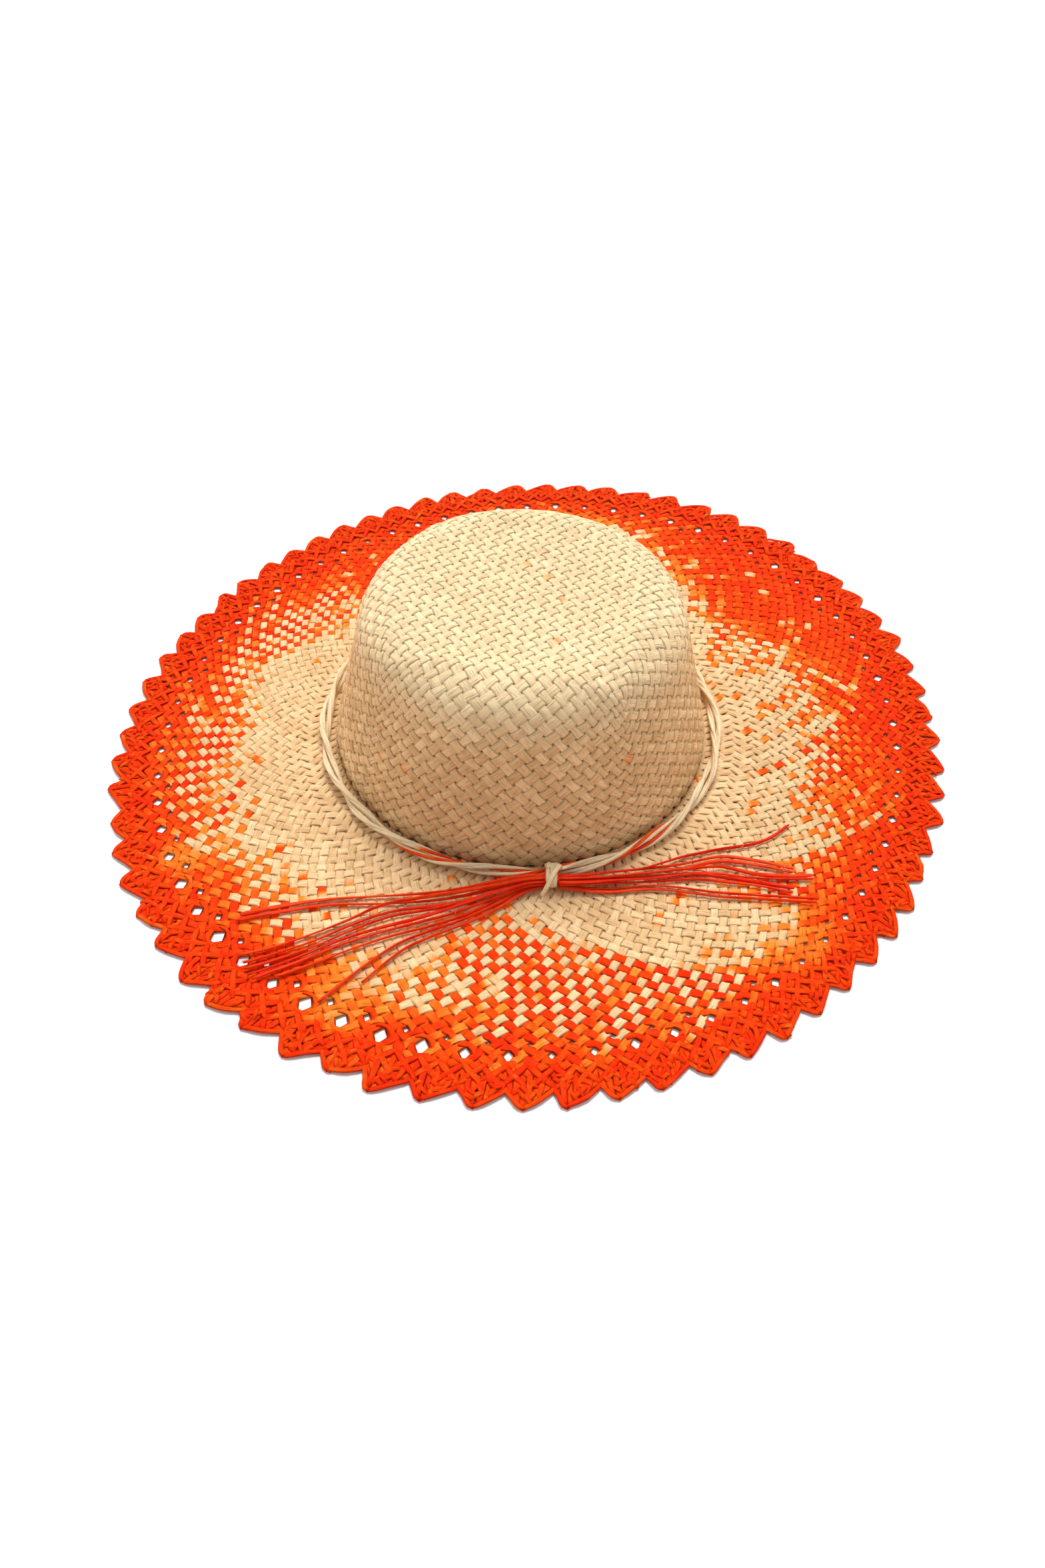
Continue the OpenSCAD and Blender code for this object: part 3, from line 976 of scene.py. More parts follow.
@dataclass
class BrimLaw:
    """How the brim's straws turn: they keep their width, so they lie flatter further out.

    A row is a ring of crossings. out_of_round holds (waves round the edge, cosine part,
    sine part), which grow in mm from flat_r out to the tips.
    """

    sizes: HatSizes
    straws: int = 136
    width: float = 4.4
    steepest: float = 64.0
    flat_r: float = 104.0
    eyelet_r: float = 181.0
    eyelet_row: int = 27
    out_of_round: Tuple[Tuple[int, float, float], ...] = ((2, -3.52, 7.31), (3, -1.43, -0.12))

    def __post_init__(self) -> None:
        """Adds up the turning from the crown outwards."""
        self.radii = np.arange(86.0, 216.0, 0.1)
        lean = np.minimum(self.width * self.straws / (2 * np.pi * self.radii),
                          math.sin(math.radians(self.steepest)))
        turn = np.sqrt(1 - lean ** 2) / lean / self.radii
        rows = np.cumsum(turn) * 0.1 * self.straws / np.pi
        self.rows = rows - np.interp(self.eyelet_r, self.radii, rows) + self.eyelet_row
        self.lean = lean

    def radius(self, row: np.ndarray) -> np.ndarray:
        """Radius of a row of crossings."""
        return np.interp(row, self.rows, self.radii)

    def row(self, radius: float) -> float:
        """Row at a radius."""
        return float(np.interp(radius, self.radii, self.rows))

    def straw_width(self, radius: np.ndarray) -> np.ndarray:
        """Width of a straw at a radius."""
        return 2 * np.pi * radius * np.interp(radius, self.radii, self.lean) / self.straws

    def place(self, radius: np.ndarray, azimuth: np.ndarray, depth: float) -> np.ndarray:
        """Points of the brim, before it goes out of round.

        Args:
            radius: distances from the middle, which moves from the crown's to the brim's.
            azimuth: angles in radians.
            depth: distance under the brim's upper face.
        Returns:
            The points.
        """
        s = self.sizes
        share = 1 - smooth_step((radius - s.crown_r) / (s.weave_r - s.crown_r))
        x = s.crown_x * share + radius * np.cos(azimuth)
        y = s.crown_y * share + radius * np.sin(azimuth)
        return np.stack([x, y, s.brim_top(np.hypot(x, y)) - depth], -1)

    def stretch(self, points: np.ndarray) -> np.ndarray:
        """Takes the brim out of round, as a hand-made one is.

        Args:
            points: points of the round brim, in mm.
        Returns:
            The moved points.
        """
        r, azimuth = np.hypot(points[:, 0], points[:, 1]), np.arctan2(points[:, 1], points[:, 0])
        push = sum(c * np.cos(k * azimuth) + d * np.sin(k * azimuth)
                   for k, c, d in self.out_of_round)
        share = smooth_step((r - self.flat_r) / (self.sizes.tip_r - self.flat_r))
        scale = 1 + push * share / np.maximum(r, 1)
        moved = points.copy()
        moved[:, :2] *= scale[:, None]
        return moved


@dataclass
class Eyelets:
    """One row of holes that the straws are pushed apart around.

    openness scales each hole in turn, because the hand-made ones differ.
    """

    count: int
    radius: float
    shift: float
    length: float
    width: float
    openness: np.ndarray
    spread: float = 2.2

    def open(self, points: np.ndarray) -> np.ndarray:
        """Pushes points away from the holes' middles.

        Args:
            points: points near the edge, in mm.
        Returns:
            The moved points.
        """
        pitch = 2 * np.pi / self.count
        r, azimuth = np.hypot(points[:, 0], points[:, 1]), np.arctan2(points[:, 1], points[:, 0])
        number = np.rint(azimuth / pitch - self.shift)
        near = (number + self.shift) * pitch
        along, across = (azimuth - near) * r, r - self.radius
        wide = self.openness[number.astype(int) % self.count]
        far = np.sqrt((along / self.length * 2) ** 2 + (across / self.width * 2) ** 2)
        far = np.maximum(far, 1e-6)
        grow = np.where(far < self.spread,
                        (wide + far * (self.spread - wide) / self.spread) / far, 1)
        r2 = self.radius + across * grow
        azimuth2 = near + along * grow / r
        return ring_points(r2, azimuth2, points[:, 2])


@dataclass
class BrimPlait:
    """The brim, the ring of eyelets and the braid: two families of straws from the crown out."""

    sizes: HatSizes
    law: BrimLaw
    straw_t: float = 0.62
    lift: float = 0.4
    edge_droop: float = 0.24
    tightness: float = 0.945
    fade: float = 5.0
    steps: int = 4
    weak_dye: Tuple[Tuple[float, float], ...] = ((-116.0, 5.0), (-48.0, 5.0), (-150.0, 3.0))
    quick_depth: float = 22.0
    slow_depth: float = 44.0
    slow_share: float = 0.3
    gap_share: float = 0.45
    spot_share: float = 0.4
    plain_r: float = 178.0
    edge_r: float = 195.0
    braid_depth: float = 0.95

    def openness(self, count: int, rng: np.random.Generator) -> np.ndarray:
        """How far each eyelet of a row is open: most at the front left, least at the right.

        Args:
            count: how many eyelets the row has.
            rng: the source of their differences.
        Returns:
            The factors on the eyelets' size.
        """
        turn = (np.arange(count) * 360 / count + 180) % 360 - 180
        wide = rng.uniform(0.5, 0.9, count)
        wide = np.where((turn > -150) & (turn < -102), rng.uniform(0.85, 1.2, count), wide)
        return np.where((turn > -98) & (turn < 10), rng.uniform(0.4, 0.8, count), wide)

    def open_eyelets(self, rng: np.random.Generator) -> None:
        """Sets the two rows of eyelets, which fall on gaps between crossings.

        Args:
            rng: the source of the eyelets' differences.
        """
        count, law = self.law.straws // 2, self.law
        second = float(law.radius(law.eyelet_row + 2))
        self.small = Eyelets(count, law.eyelet_r, 0.0, 4.6, 3.6, self.openness(count, rng))
        self.large = Eyelets(count, second, 0.5, 8.0, 5.9, self.openness(count, rng), 1.8)

    def dye(self, radius: np.ndarray, azimuth: np.ndarray, start: float, luck: np.ndarray
            ) -> np.ndarray:
        """How much a straw is dyed along its way, with the slips of dyeing by hand.

        Args:
            radius: the stations' radii.
            azimuth: the stations' azimuths.
            start: radius from which the straw is dyed.
            luck: five random numbers from 0 to 1, of this straw.
        Returns:
            The dye at each station.
        """
        full = self.slow_depth if luck[0] < self.slow_share else self.quick_depth
        found = smooth_step((radius - start) / self.fade)
        found = found * (0.42 + 0.58 * smooth_step((radius - start) / full))
        if luck[1] < self.gap_share:
            gap = start + 7 + 26 * luck[2]
            inside = smooth_step((self.plain_r - radius) / 5)
            found = found * (1 - 0.92 * inside * np.exp(-((radius - gap) / 3.0) ** 2))
        if luck[3] < self.spot_share:
            spot = start - 7 - 15 * luck[4]
            found = found + (0.3 + luck[2] * 0.5) * np.exp(-((radius - spot) / 2.3) ** 2)
        for weak, spread in self.weak_dye:
            off = (np.degrees(azimuth) - weak + 180) % 360 - 180
            patch = np.exp(-(off / spread) ** 2) * smooth_step((self.edge_r - radius) / 8)
            found = found * (1 - 0.5 * patch)
        return np.clip(found, 0, 1)

    def straw(self, hand: Hand, number: int, rows: np.ndarray, start: float,
              luck: np.ndarray, tone: float, depth: float) -> Straw:
        """One straw of a family over a stretch of rows.

        Args:
            hand: the family.
            number: which straw of the family.
            rows: the stations' rows.
            start: radius from which it is dyed.
            luck: five random numbers of this straw.
            tone: its shade.
            depth: distance under the brim's upper face.
        Returns:
            The straw.
        """
        law = self.law
        radius = law.radius(rows)
        azimuth = (2 * np.pi * (number + 0.5) / law.straws
                   + hand.value * (rows - law.eyelet_row) * np.pi / law.straws)
        calm = smooth_step((self.plain_r - 1 - radius) / 6)
        sway = 0.30 * np.sin(rows * 0.83 + tone * 50) + 0.16 * np.sin(rows * 2.1 + tone * 90)
        azimuth = azimuth + calm * sway / radius
        middle = law.place(radius, azimuth, depth)
        side = unit(np.cross(UP, np.gradient(middle, axis=0)))
        pinch = (self.tightness + 0.05 * calm * np.sin(rows * 1.3 + tone * 70)
                 + 0.03 * smooth_step((125 - radius) / 25))
        width = law.straw_width(radius) * pinch
        wave = hand.value * np.cos(np.pi * (rows - law.eyelet_row - 1))
        rise = self.lift * (1 + 0.22 * np.sin(rows * 1.7 + tone * 80))
        dye = self.dye(radius, azimuth, start, luck)
        flat = np.broadcast_to(UP, middle.shape)
        return Straw(middle, side * width[:, None] / 2, flat, wave * rise,
                     wave * self.edge_droop, dye, tone)

    def shape_edge(self, points: np.ndarray) -> np.ndarray:
        """Opens the eyelets and takes the edge out of round."""
        return self.law.stretch(self.large.open(self.small.open(points)))

    def build(self, rng: np.random.Generator) -> List[bpy.types.Object]:
        """Makes the brim, the openwork ring and the braid.

        Args:
            rng: the source of the straws' shades and dye.
        Returns:
            The new pieces.
        """
        s, law = self.sizes, self.law
        self.open_eyelets(rng)
        inner = math.ceil(law.row(s.crown_r - 0.8) * 4) / 4
        weave_end = round(law.row(s.weave_r) * 4) / 4
        ring_end = round(law.row(s.openwork_r) * 4) / 4
        braid_end = round(law.row(s.braid_r + 1.2) * 4) / 4
        spans = (("brim", inner, weave_end, s.brim_t / 2, law.stretch, "dyed_straw",
                  "brim", PLAIT_FINISH),
                 ("openwork", weave_end, ring_end, s.brim_t / 2, self.shape_edge,
                  "orange_straw", "openwork_ring", EDGE_FINISH),
                 ("braid", ring_end, braid_end, self.braid_depth, self.shape_edge,
                  "orange_straw", "edge_braid", EDGE_FINISH))
        made = []
        for hand, dyes in ((Hand.LEFT, LEFT_HAND_DYE), (Hand.RIGHT, RIGHT_HAND_DYE)):
            pitch = 360 / law.straws
            turn = hand.value * (law.row(s.weave_r) - law.eyelet_row) * 180 / law.straws
            starts = [dyes.radius((i + 0.5) * pitch + turn, pitch, rng)
                      for i in range(law.straws)]
            tones = rng.uniform(0, 1, law.straws)
            lucks = rng.uniform(0, 1, (law.straws, 5))
            for name, low, high, depth, shape, slot, node, finish in spans:
                batch = StrawBatch(self.straw_t)
                rows = np.linspace(low, high, int(round((high - low) * self.steps)) + 1)
                for i in range(law.straws):
                    batch.add(self.straw(hand, i, rows, starts[i], lucks[i],
                                         float(tones[i]), depth))
                piece = batch.build(f"{name}_straws_{hand.name.lower()}", shape)
                made.append(dress(piece, finish, HAT_BODY, [node]))
        return made


@dataclass
class ToothedEdge:
    """The teeth: folded loops of straw that fan in to each tip, and ties across the braid."""

    sizes: HatSizes
    law: BrimLaw
    teeth: int = 68
    ray_count: int = 7
    chip_count: int = 11
    straw_t: float = 0.6
    edge_droop: float = 0.22
    valley_r: float = 202.2
    lean: float = -3.1
    lean_scatter: float = 1.1
    tip_inset: float = 0.9
    tip_scatter: float = 0.8

    @property
    def pitch(self) -> float:
        """Distance from one tooth to the next, along the braid's edge."""
        return 2 * math.pi * self.sizes.braid_r / self.teeth

    def local(self, tooth: int, across: np.ndarray, radius: np.ndarray, z: np.ndarray
              ) -> np.ndarray:
        """Points given in one tooth's own terms.

        Args:
            tooth: the tooth's number.
            across: distance to the left of the tooth's middle, along the edge.
            radius: distance from the brim's middle.
            z: height.
        Returns:
            The points.
        """
        return ring_points(radius, 2 * np.pi * tooth / self.teeth + across / self.sizes.braid_r, z)

    def strip(self, batch: StrawBatch, tooth: int, marks: np.ndarray, widths: Sequence[float],
              tone: float, stations: int = 9) -> None:
        """Adds one strip of straw through marks of (across, radius, height).

        Args:
            batch: where it goes.
            tooth: the tooth's number.
            marks: its marks.
            widths: its widths, spread evenly along it.
            tone: its shade.
            stations: how many points it has.
        """
        line = smooth_line(marks, stations)
        points = self.local(tooth, line[:, 0], line[:, 1], line[:, 2])
        share = np.linspace(0, 1, stations)
        width = np.interp(share, np.linspace(0, 1, len(widths)), widths)
        tangent = unit(np.gradient(points, axis=0))
        outward = unit(points * (1, 1, 0))
        side = unit(np.cross(UP, tangent) + 1e-6)
        fold = np.abs(tangent[:, 2]) > 0.8
        side[fold] = np.cross(UP, outward)[fold]
        side *= np.where((side * side[0]).sum(1) < 0, -1.0, 1.0)[:, None]
        out = unit(np.cross(tangent, side))
        none = np.zeros(stations)
        batch.add(Straw(points, side * width[:, None] / 2, out, none, none + self.edge_droop,
                        none + 1, tone))

    def rays(self, batch: StrawBatch, tooth: int, tip: float, sway: float,
             rng: np.random.Generator) -> None:
        """Adds the strips that fan in to one tip and fold back under it.

        Args:
            batch: where they go.
            tooth: the tooth's number.
            tip: radius of the tip.
            sway: how far the tip stands to one side.
            rng: the source of the strips' differences.
        """
        pitch = self.pitch
        for j in range(self.ray_count):
            base = pitch * ((j + 0.5) / self.ray_count - 0.5) + rng.normal(0, 0.35)
            end = self.outline(base, tip, sway) + rng.normal(0, 0.4)
            z = 1.0 + 0.4 * (j % 2) + rng.uniform(-0.15, 0.15)
            top = base + 0.35 * (sway - base)
            marks = np.array([
                (base * 1.02, 194.5 + rng.uniform(-1, 1), 1.0), (base, 197.5, z + 0.35),
                (base, 200.2, z + 0.3), ((base + top) / 2, end - 2.4, z + 0.25),
                (top, end, 0.95), (top + 0.2, end - 1.5, 0.38), (base, end - 4.2, 0.35)])
            self.strip(batch, tooth, marks, (2.7, 2.8, 2.6, 2.3, 1.9), float(rng.uniform(0, 1)))

    def outline(self, across: float, tip: float, sway: float) -> float:
        """Radius of one tooth's outline, steep on one side of its tip and long on the other.

        Args:
            across: distance from the tooth's middle.
            tip: radius of the tip.
            sway: where the tip is, from the tooth's middle.
        Returns:
            The radius.
        """
        half = self.pitch / 2
        if across < sway:
            share = 1 - max(0.0, (across + half) / (sway + half)) ** 0.7
        else:
            share = min(1.0, (across - sway) / (half - sway)) ** 1.25
        return tip - (tip - self.valley_r) * share

    def loops(self, batch: StrawBatch, tooth: int, tip: float, sway: float,
              rng: np.random.Generator) -> None:
        """Adds the two strips that run round one tooth, from valley to tip.

        Args:
            batch: where they go.
            tooth: the tooth's number.
            tip: radius of the tip.
            sway: how far the tip stands to one side.
            rng: the source of the strips' differences.
        """
        pitch = self.pitch
        for hand in (-1, 1):
            waver = rng.normal(0, 0.45, 4)
            valley = hand * pitch / 2
            marks = np.array([
                (valley * 1.12, self.valley_r - 2.4 + waver[0], 1.0),
                (valley * 0.94, self.valley_r - 0.5 + waver[1] * 0.5, 1.5),
                (valley * 0.5 + sway * 0.5, (tip + self.valley_r) / 2 - 0.4 + waver[2], 1.75),
                (sway + hand * 1.7, tip - 1.5 + waver[3] * 0.5, 1.5),
                (sway - hand * 0.7, tip - 0.5, 0.9), (sway - hand * 2.0, tip - 3.2, 0.5)])
            self.strip(batch, tooth, marks, (1.7, 2.1, 2.3, 2.0, 1.5), float(rng.uniform(0, 1)))

    def chips(self, batch: StrawBatch, tooth: int, tip: float, sway: float,
              rng: np.random.Generator) -> None:
        """Adds the short slanting turns of straw that bind one tooth.

        Args:
            batch: where they go.
            tooth: the tooth's number.
            tip: radius of the tip.
            sway: how far the tip stands to one side.
            rng: the source of their places.
        """
        for k in range(self.chip_count):
            radius = 195.5 + (tip - 199.5) * (k + rng.uniform(0, 0.8)) / self.chip_count
            room = 8.4 if radius < 200 else 8.4 - 1.1 * (radius - 200)
            across = rng.uniform(-room, room) + sway * min(1.0, max(0.0, (radius - 198) / 8))
            slant = (-1) ** k * math.radians(rng.uniform(20, 72))
            half = rng.uniform(2.3, 3.4)
            dx, dr = half * math.sin(slant), half * math.cos(slant)
            marks = np.array([
                (across - dx, radius - dr, 1.0), (across - dx * 0.4, radius - dr * 0.4, 2.0),
                (across + dx * 0.4, radius + dr * 0.4, 2.05), (across + dx, radius + dr, 1.0)])
            width = rng.uniform(1.7, 2.5)
            self.strip(batch, tooth, marks, (width * 0.8, width, width, width * 0.7),
                       float(rng.uniform(0, 1)), 6)

    def ties(self, batch: StrawBatch, tooth: int, rng: np.random.Generator) -> None:
        """Adds the crossing strips that join one tooth to the ring of eyelets.

        Args:
            batch: where they go.
            tooth: the tooth's number.
            rng: the source of their differences.
        """
        pitch = self.pitch
        for hand in (-1, 1):
            for shift in (-0.25, 0.25):
                near = pitch * shift + rng.normal(0, 0.5)
                reach = 5.2 + rng.uniform(-0.8, 0.8)
                low = 190.6 + rng.uniform(-0.8, 0.8)
                marks = np.array([
                    (near - hand * reach, low, 1.2), (near - hand * 2.0, low + 3.2, 1.95),
                    (near + hand * 1.6, low + 6.4, 2.0), (near + hand * reach, low + 9.8, 1.2)])
                self.strip(batch, tooth, marks, (2.2, 2.9, 2.8, 2.1),
                           float(rng.uniform(0, 1)), 7)

    def build(self, rng: np.random.Generator) -> List[bpy.types.Object]:
        """Makes the teeth and the ties.

        Args:
            rng: the source of the small differences from tooth to tooth.
        Returns:
            The three pieces.
        """
        teeth, turns, ties = (StrawBatch(self.straw_t) for _ in range(3))
        for tooth in range(self.teeth):
            tip = self.sizes.tip_r - self.tip_inset + float(rng.normal(0, self.tip_scatter))
            sway = self.lean + float(rng.normal(0, self.lean_scatter))
            self.rays(teeth, tooth, tip, sway, rng)
            self.loops(teeth, tooth, tip, sway, rng)
            self.chips(turns, tooth, tip, sway, rng)
            self.ties(ties, tooth, rng)
        return [dress(batch.build(name, self.law.stretch), EDGE_FINISH,
                      HAT_BODY, nodes)
                for batch, name, nodes in ((teeth, "teeth_straws", ["edge_teeth"]),
                                           (turns, "teeth_bindings", []),
                                           (ties, "braid_ties", []))]


# ---------------------------------------------------------------- sweatband

# How far each point of a stitch goes into the ribbon, in mm.
STITCH_DIP = np.array([0.35, 0.05, 0, 0, 0.05, 0.35])


@dataclass
class Sweatband:
    """The ribbed ribbon inside the crown, and its row of stitches."""

    sizes: HatSizes
    thickness: float = 0.6
    gap: float = 0.05
    stitches: int = 60
    half_stitch: float = 1.9
    thread_d: float = 0.4
    steps: int = 96

    def ribbon(self) -> bpy.types.Object:
        """Makes the ribbon, as a sheet.

        Returns:
            The ribbon.
        """
        s = self.sizes
        band = box_mm("sweatband")
        low, high = band[0][2], band[1][2]
        inner = s.crown_r - s.crown_t - self.thickness / 2 - self.gap
        lean = (s.crown_r - s.crown_top_r) / (s.crown_top - s.foot_top)
        levels = [low, low + 2, s.foot_top - 0.3, (s.foot_top + high) / 2, high]
        form = bmesh.new()
        line = [form.verts.new((inner - max(0.0, z - s.foot_top) * lean, 0, z)) for z in levels]
        edges = [form.edges.new(pair) for pair in zip(line, line[1:])]
        bmesh.ops.spin(form, geom=line + edges, cent=(0, 0, 0), axis=(0, 0, 1),
                       angle=2 * math.pi, steps=self.steps, use_merge=True)
        bmesh.ops.recalc_face_normals(form, faces=form.faces)
        self.unroll(form, low, high)
        bmesh.ops.translate(form, vec=(s.crown_x, s.crown_y, 0), verts=form.verts)
        bmesh.ops.scale(form, vec=(MM, MM, MM), verts=form.verts)
        mesh = bpy.data.meshes.new("ribbon")
        form.to_mesh(mesh)
        form.free()
        piece = link("sweatband_ribbon", mesh)
        wall = piece.modifiers.new("thickness", "SOLIDIFY")
        wall.thickness, wall.offset = self.thickness * MM, 0
        dress(piece, RibbonFinish(), HAT_BODY, ["sweatband"])
        return piece

    @staticmethod
    def unroll(form: bmesh.types.BMesh, low: float, high: float) -> None:
        """Gives the ribbon a map of its own, once round by once up.

        Args:
            form: the ribbon's mesh, round the origin.
            low: its lower edge.
            high: its upper edge.
        """
        uv = form.loops.layers.uv.new("ribbon")
        for face in form.faces:
            face.smooth = True
            middle = face.calc_center_median()
            about = math.atan2(middle.y, middle.x)
            for loop in face.loops:
                x, y, z = loop.vert.co
                turn = math.atan2(y, x)
                turn += 2 * math.pi * round((about - turn) / (2 * math.pi))
                loop[uv].uv = (turn / (2 * math.pi), (z - low) / (high - low))

    def thread(self) -> bpy.types.Object:
        """Makes the row of stitches.

        Returns:
            The stitches.
        """
        row = box_mm("sweatband_stitches")
        batch = StrawBatch(self.thread_d, Section.ROUND)
        height = (row[0][2] + row[1][2]) / 2
        face_r = (row[1][0] - row[0][0]) / 2 - STITCH_DIP[0]
        none = np.zeros(len(STITCH_DIP))
        for i in range(self.stitches):
            turn = (2 * math.pi * i / self.stitches
                    + np.linspace(-self.half_stitch, self.half_stitch, len(none)) / face_r)
            line = self.sizes.crown_middle + ring_points(face_r + STITCH_DIP, turn, none + height)
            batch.add(Straw.free(line, none + self.thread_d, none, none, 0.6))
        return dress(batch.build("ribbon_stitches"), THREAD_FINISH, HAT_BODY,
                     ["sweatband_stitches"])

    def build(self) -> List[bpy.types.Object]:
        """Makes the ribbon and the stitches."""
        return [self.ribbon(), self.thread()]


# ---------------------------------------------------------------- cord, knot and tails

# Routes of the loose strands, in mm: x, y, and height above what the strand lies on.
LEFT_TAILS = [
    [(5, -104.4, 6.6), (-4, -105, 6.3), (-14, -107, 5.4), (-30, -110, 3), (-46, -112, 1.6),
     (-68, -114, 1.2), (-90, -116, 1.1), (-110, -120, 1.1), (-128, -125, 1.1)],
    [(5, -104.4, 5), (-4, -105, 4.6), (-16, -109, 3.2), (-30, -113, 1.8), (-46, -116, 1.2),
     (-68, -118, 1.1), (-90, -119, 1.1), (-110, -123, 1.1), (-129, -128, 1.1)],
    [(5, -106, 6.8), (-4, -107, 6.6), (-18, -110, 5.4), (-34, -113, 4), (-50, -116, 3.4),
     (-66, -120, 3.2), (-80, -127, 1.5), (-96, -135, 1.2), (-112, -142, 1.1), (-124, -146, 1.1)],
    [(5, -104.4, 3.4), (-4, -105.4, 3), (-16, -110, 1.5), (-30, -116, 1.1), (-46, -119, 1.1),
     (-62, -122, 1.1), (-78, -129, 1.1), (-94, -138, 1.1), (-110, -145, 1.1), (-122, -150, 1.1)],
    [(5, -106, 5.2), (-4, -107, 4.8), (-16, -111.5, 3.4), (-30, -117, 2.6), (-46, -121, 1.6),
     (-62, -124.5, 1.1), (-78, -132, 1.1), (-92, -140, 1.1), (-108, -147.5, 1.1),
     (-121, -153, 1.1)],
    [(5, -107.6, 6), (-4, -109, 5.8), (-18, -114, 4.8), (-34, -120, 3.2), (-50, -125.5, 1.6),
     (-66, -130.5, 1.1), (-82, -137, 1.1), (-98, -145.5, 1.1), (-110, -151.5, 1.1),
     (-119, -156, 1.1)],
    [(5, -107.6, 4.4), (-4, -109, 4.1), (-18, -115, 2.9), (-34, -122, 1.5), (-50, -127.5, 1.2),
     (-66, -133, 1.1), (-82, -139.5, 1.1), (-98, -148, 1.1), (-108, -153, 1.1),
     (-117, -158, 1.1)],
    [(5, -106, 3.6), (-4, -107.6, 3), (-16, -114.5, 1.2), (-30, -123, 1.1), (-46, -129.6, 1.1),
     (-62, -135, 1.1), (-78, -142, 1.1), (-92, -149, 1.1), (-107, -156, 1.1)],
    [(5, -106, 2), (-4, -108.4, 1.3), (-16, -116.6, 1.1), (-30, -125, 1.1), (-44, -131.4, 1.1),
     (-57, -138, 1.1), (-68, -147, 1.1), (-78, -157, 1.1), (-88, -168, 1.1)],
    [(5, -107.6, 2.8), (-4, -110.6, 2.2), (-14, -118, 1.2), (-28, -126.6, 1.1),
     (-42, -133.6, 1.1), (-54, -140.5, 1.1), (-63, -149, 1.1), (-71, -158, 1.1)],
]
RIGHT_TAILS = [
    [(11, -104.4, 6.6), (20, -103.6, 6.2), (34, -100.2, 4.8), (47, -97, 3.6), (58, -92, 2.4),
     (68, -87, 1.2), (84, -82, 1.1), (100, -78, 1.1), (110, -73, 1.1), (119, -65, 1.1)],
    [(11, -104.4, 5), (20, -102.5, 4.2), (35, -98.5, 2.8), (52, -94.5, 1.3), (68, -91, 1.1),
     (84, -86, 1.1), (96, -86.5, 1.1), (108, -88.5, 1.1), (118, -91, 1.1)],
    [(11, -104.4, 3.4), (20, -103, 2.6), (36, -99.5, 1.2), (54, -96.5, 1.1), (70, -93, 1.1),
     (84, -88.5, 1.1), (96, -89, 1.1), (108, -90.8, 1.1), (117, -93, 1.1)],
    [(11, -106, 6.8), (20, -105.2, 6.4), (38, -101.8, 4.6), (58, -97.4, 3.2), (72, -94.6, 2.8),
     (84, -91.8, 1.4), (92, -93, 1.1), (101, -95, 1.1), (114, -95.2, 1.1), (127, -94, 1.1)],
    [(11, -106, 5.2), (20, -105, 4.4), (38, -102, 2.8), (58, -98.5, 1.3), (72, -96, 1.1),
     (84, -95.6, 1.1), (96, -97, 1.1), (112, -97, 1.1), (126, -96, 1.1)],
    [(11, -107.6, 6), (20, -107, 5.6), (38, -104, 4.2), (56, -100.8, 2.8), (72, -97.5, 2.4),
     (86, -97.8, 1.3), (98, -99, 1.1), (108, -100.5, 1.1), (117, -102, 1.1)],
    [(11, -107.6, 4.4), (20, -106.8, 3.8), (38, -104.2, 2.5), (56, -101.5, 1.2),
     (72, -99.3, 1.1), (86, -100, 1.1), (98, -101, 1.1), (107, -102.4, 1.1), (116, -104.4, 1.1)],
    [(11, -106, 2), (20, -106.6, 1.3), (34, -106.5, 1.1), (48, -104.3, 1.1), (62, -104, 1.1),
     (80, -106, 1.1), (96, -106.5, 1.1), (112, -106.8, 1.1), (127, -107, 1.1)],
    [(11, -107.6, 2.8), (20, -108.5, 2.2), (34, -108.5, 1.2), (48, -106.3, 1.1),
     (62, -106.2, 1.1), (80, -108.2, 1.1), (98, -108.5, 1.1), (112, -108.8, 1.1),
     (125, -109, 1.1)],
]
FRONT_END = [(11.5, -100.5, 9.3), (9.5, -104, 9.4), (7.5, -107.6, 8.8), (6, -110.4, 6.6),
             (4.8, -111.8, 4.4), (3.6, -112.8, 2.4)]
SIDE_END = [(12.4, -102.4, 9.2), (14.4, -101.4, 9), (17, -100.4, 8.6)]


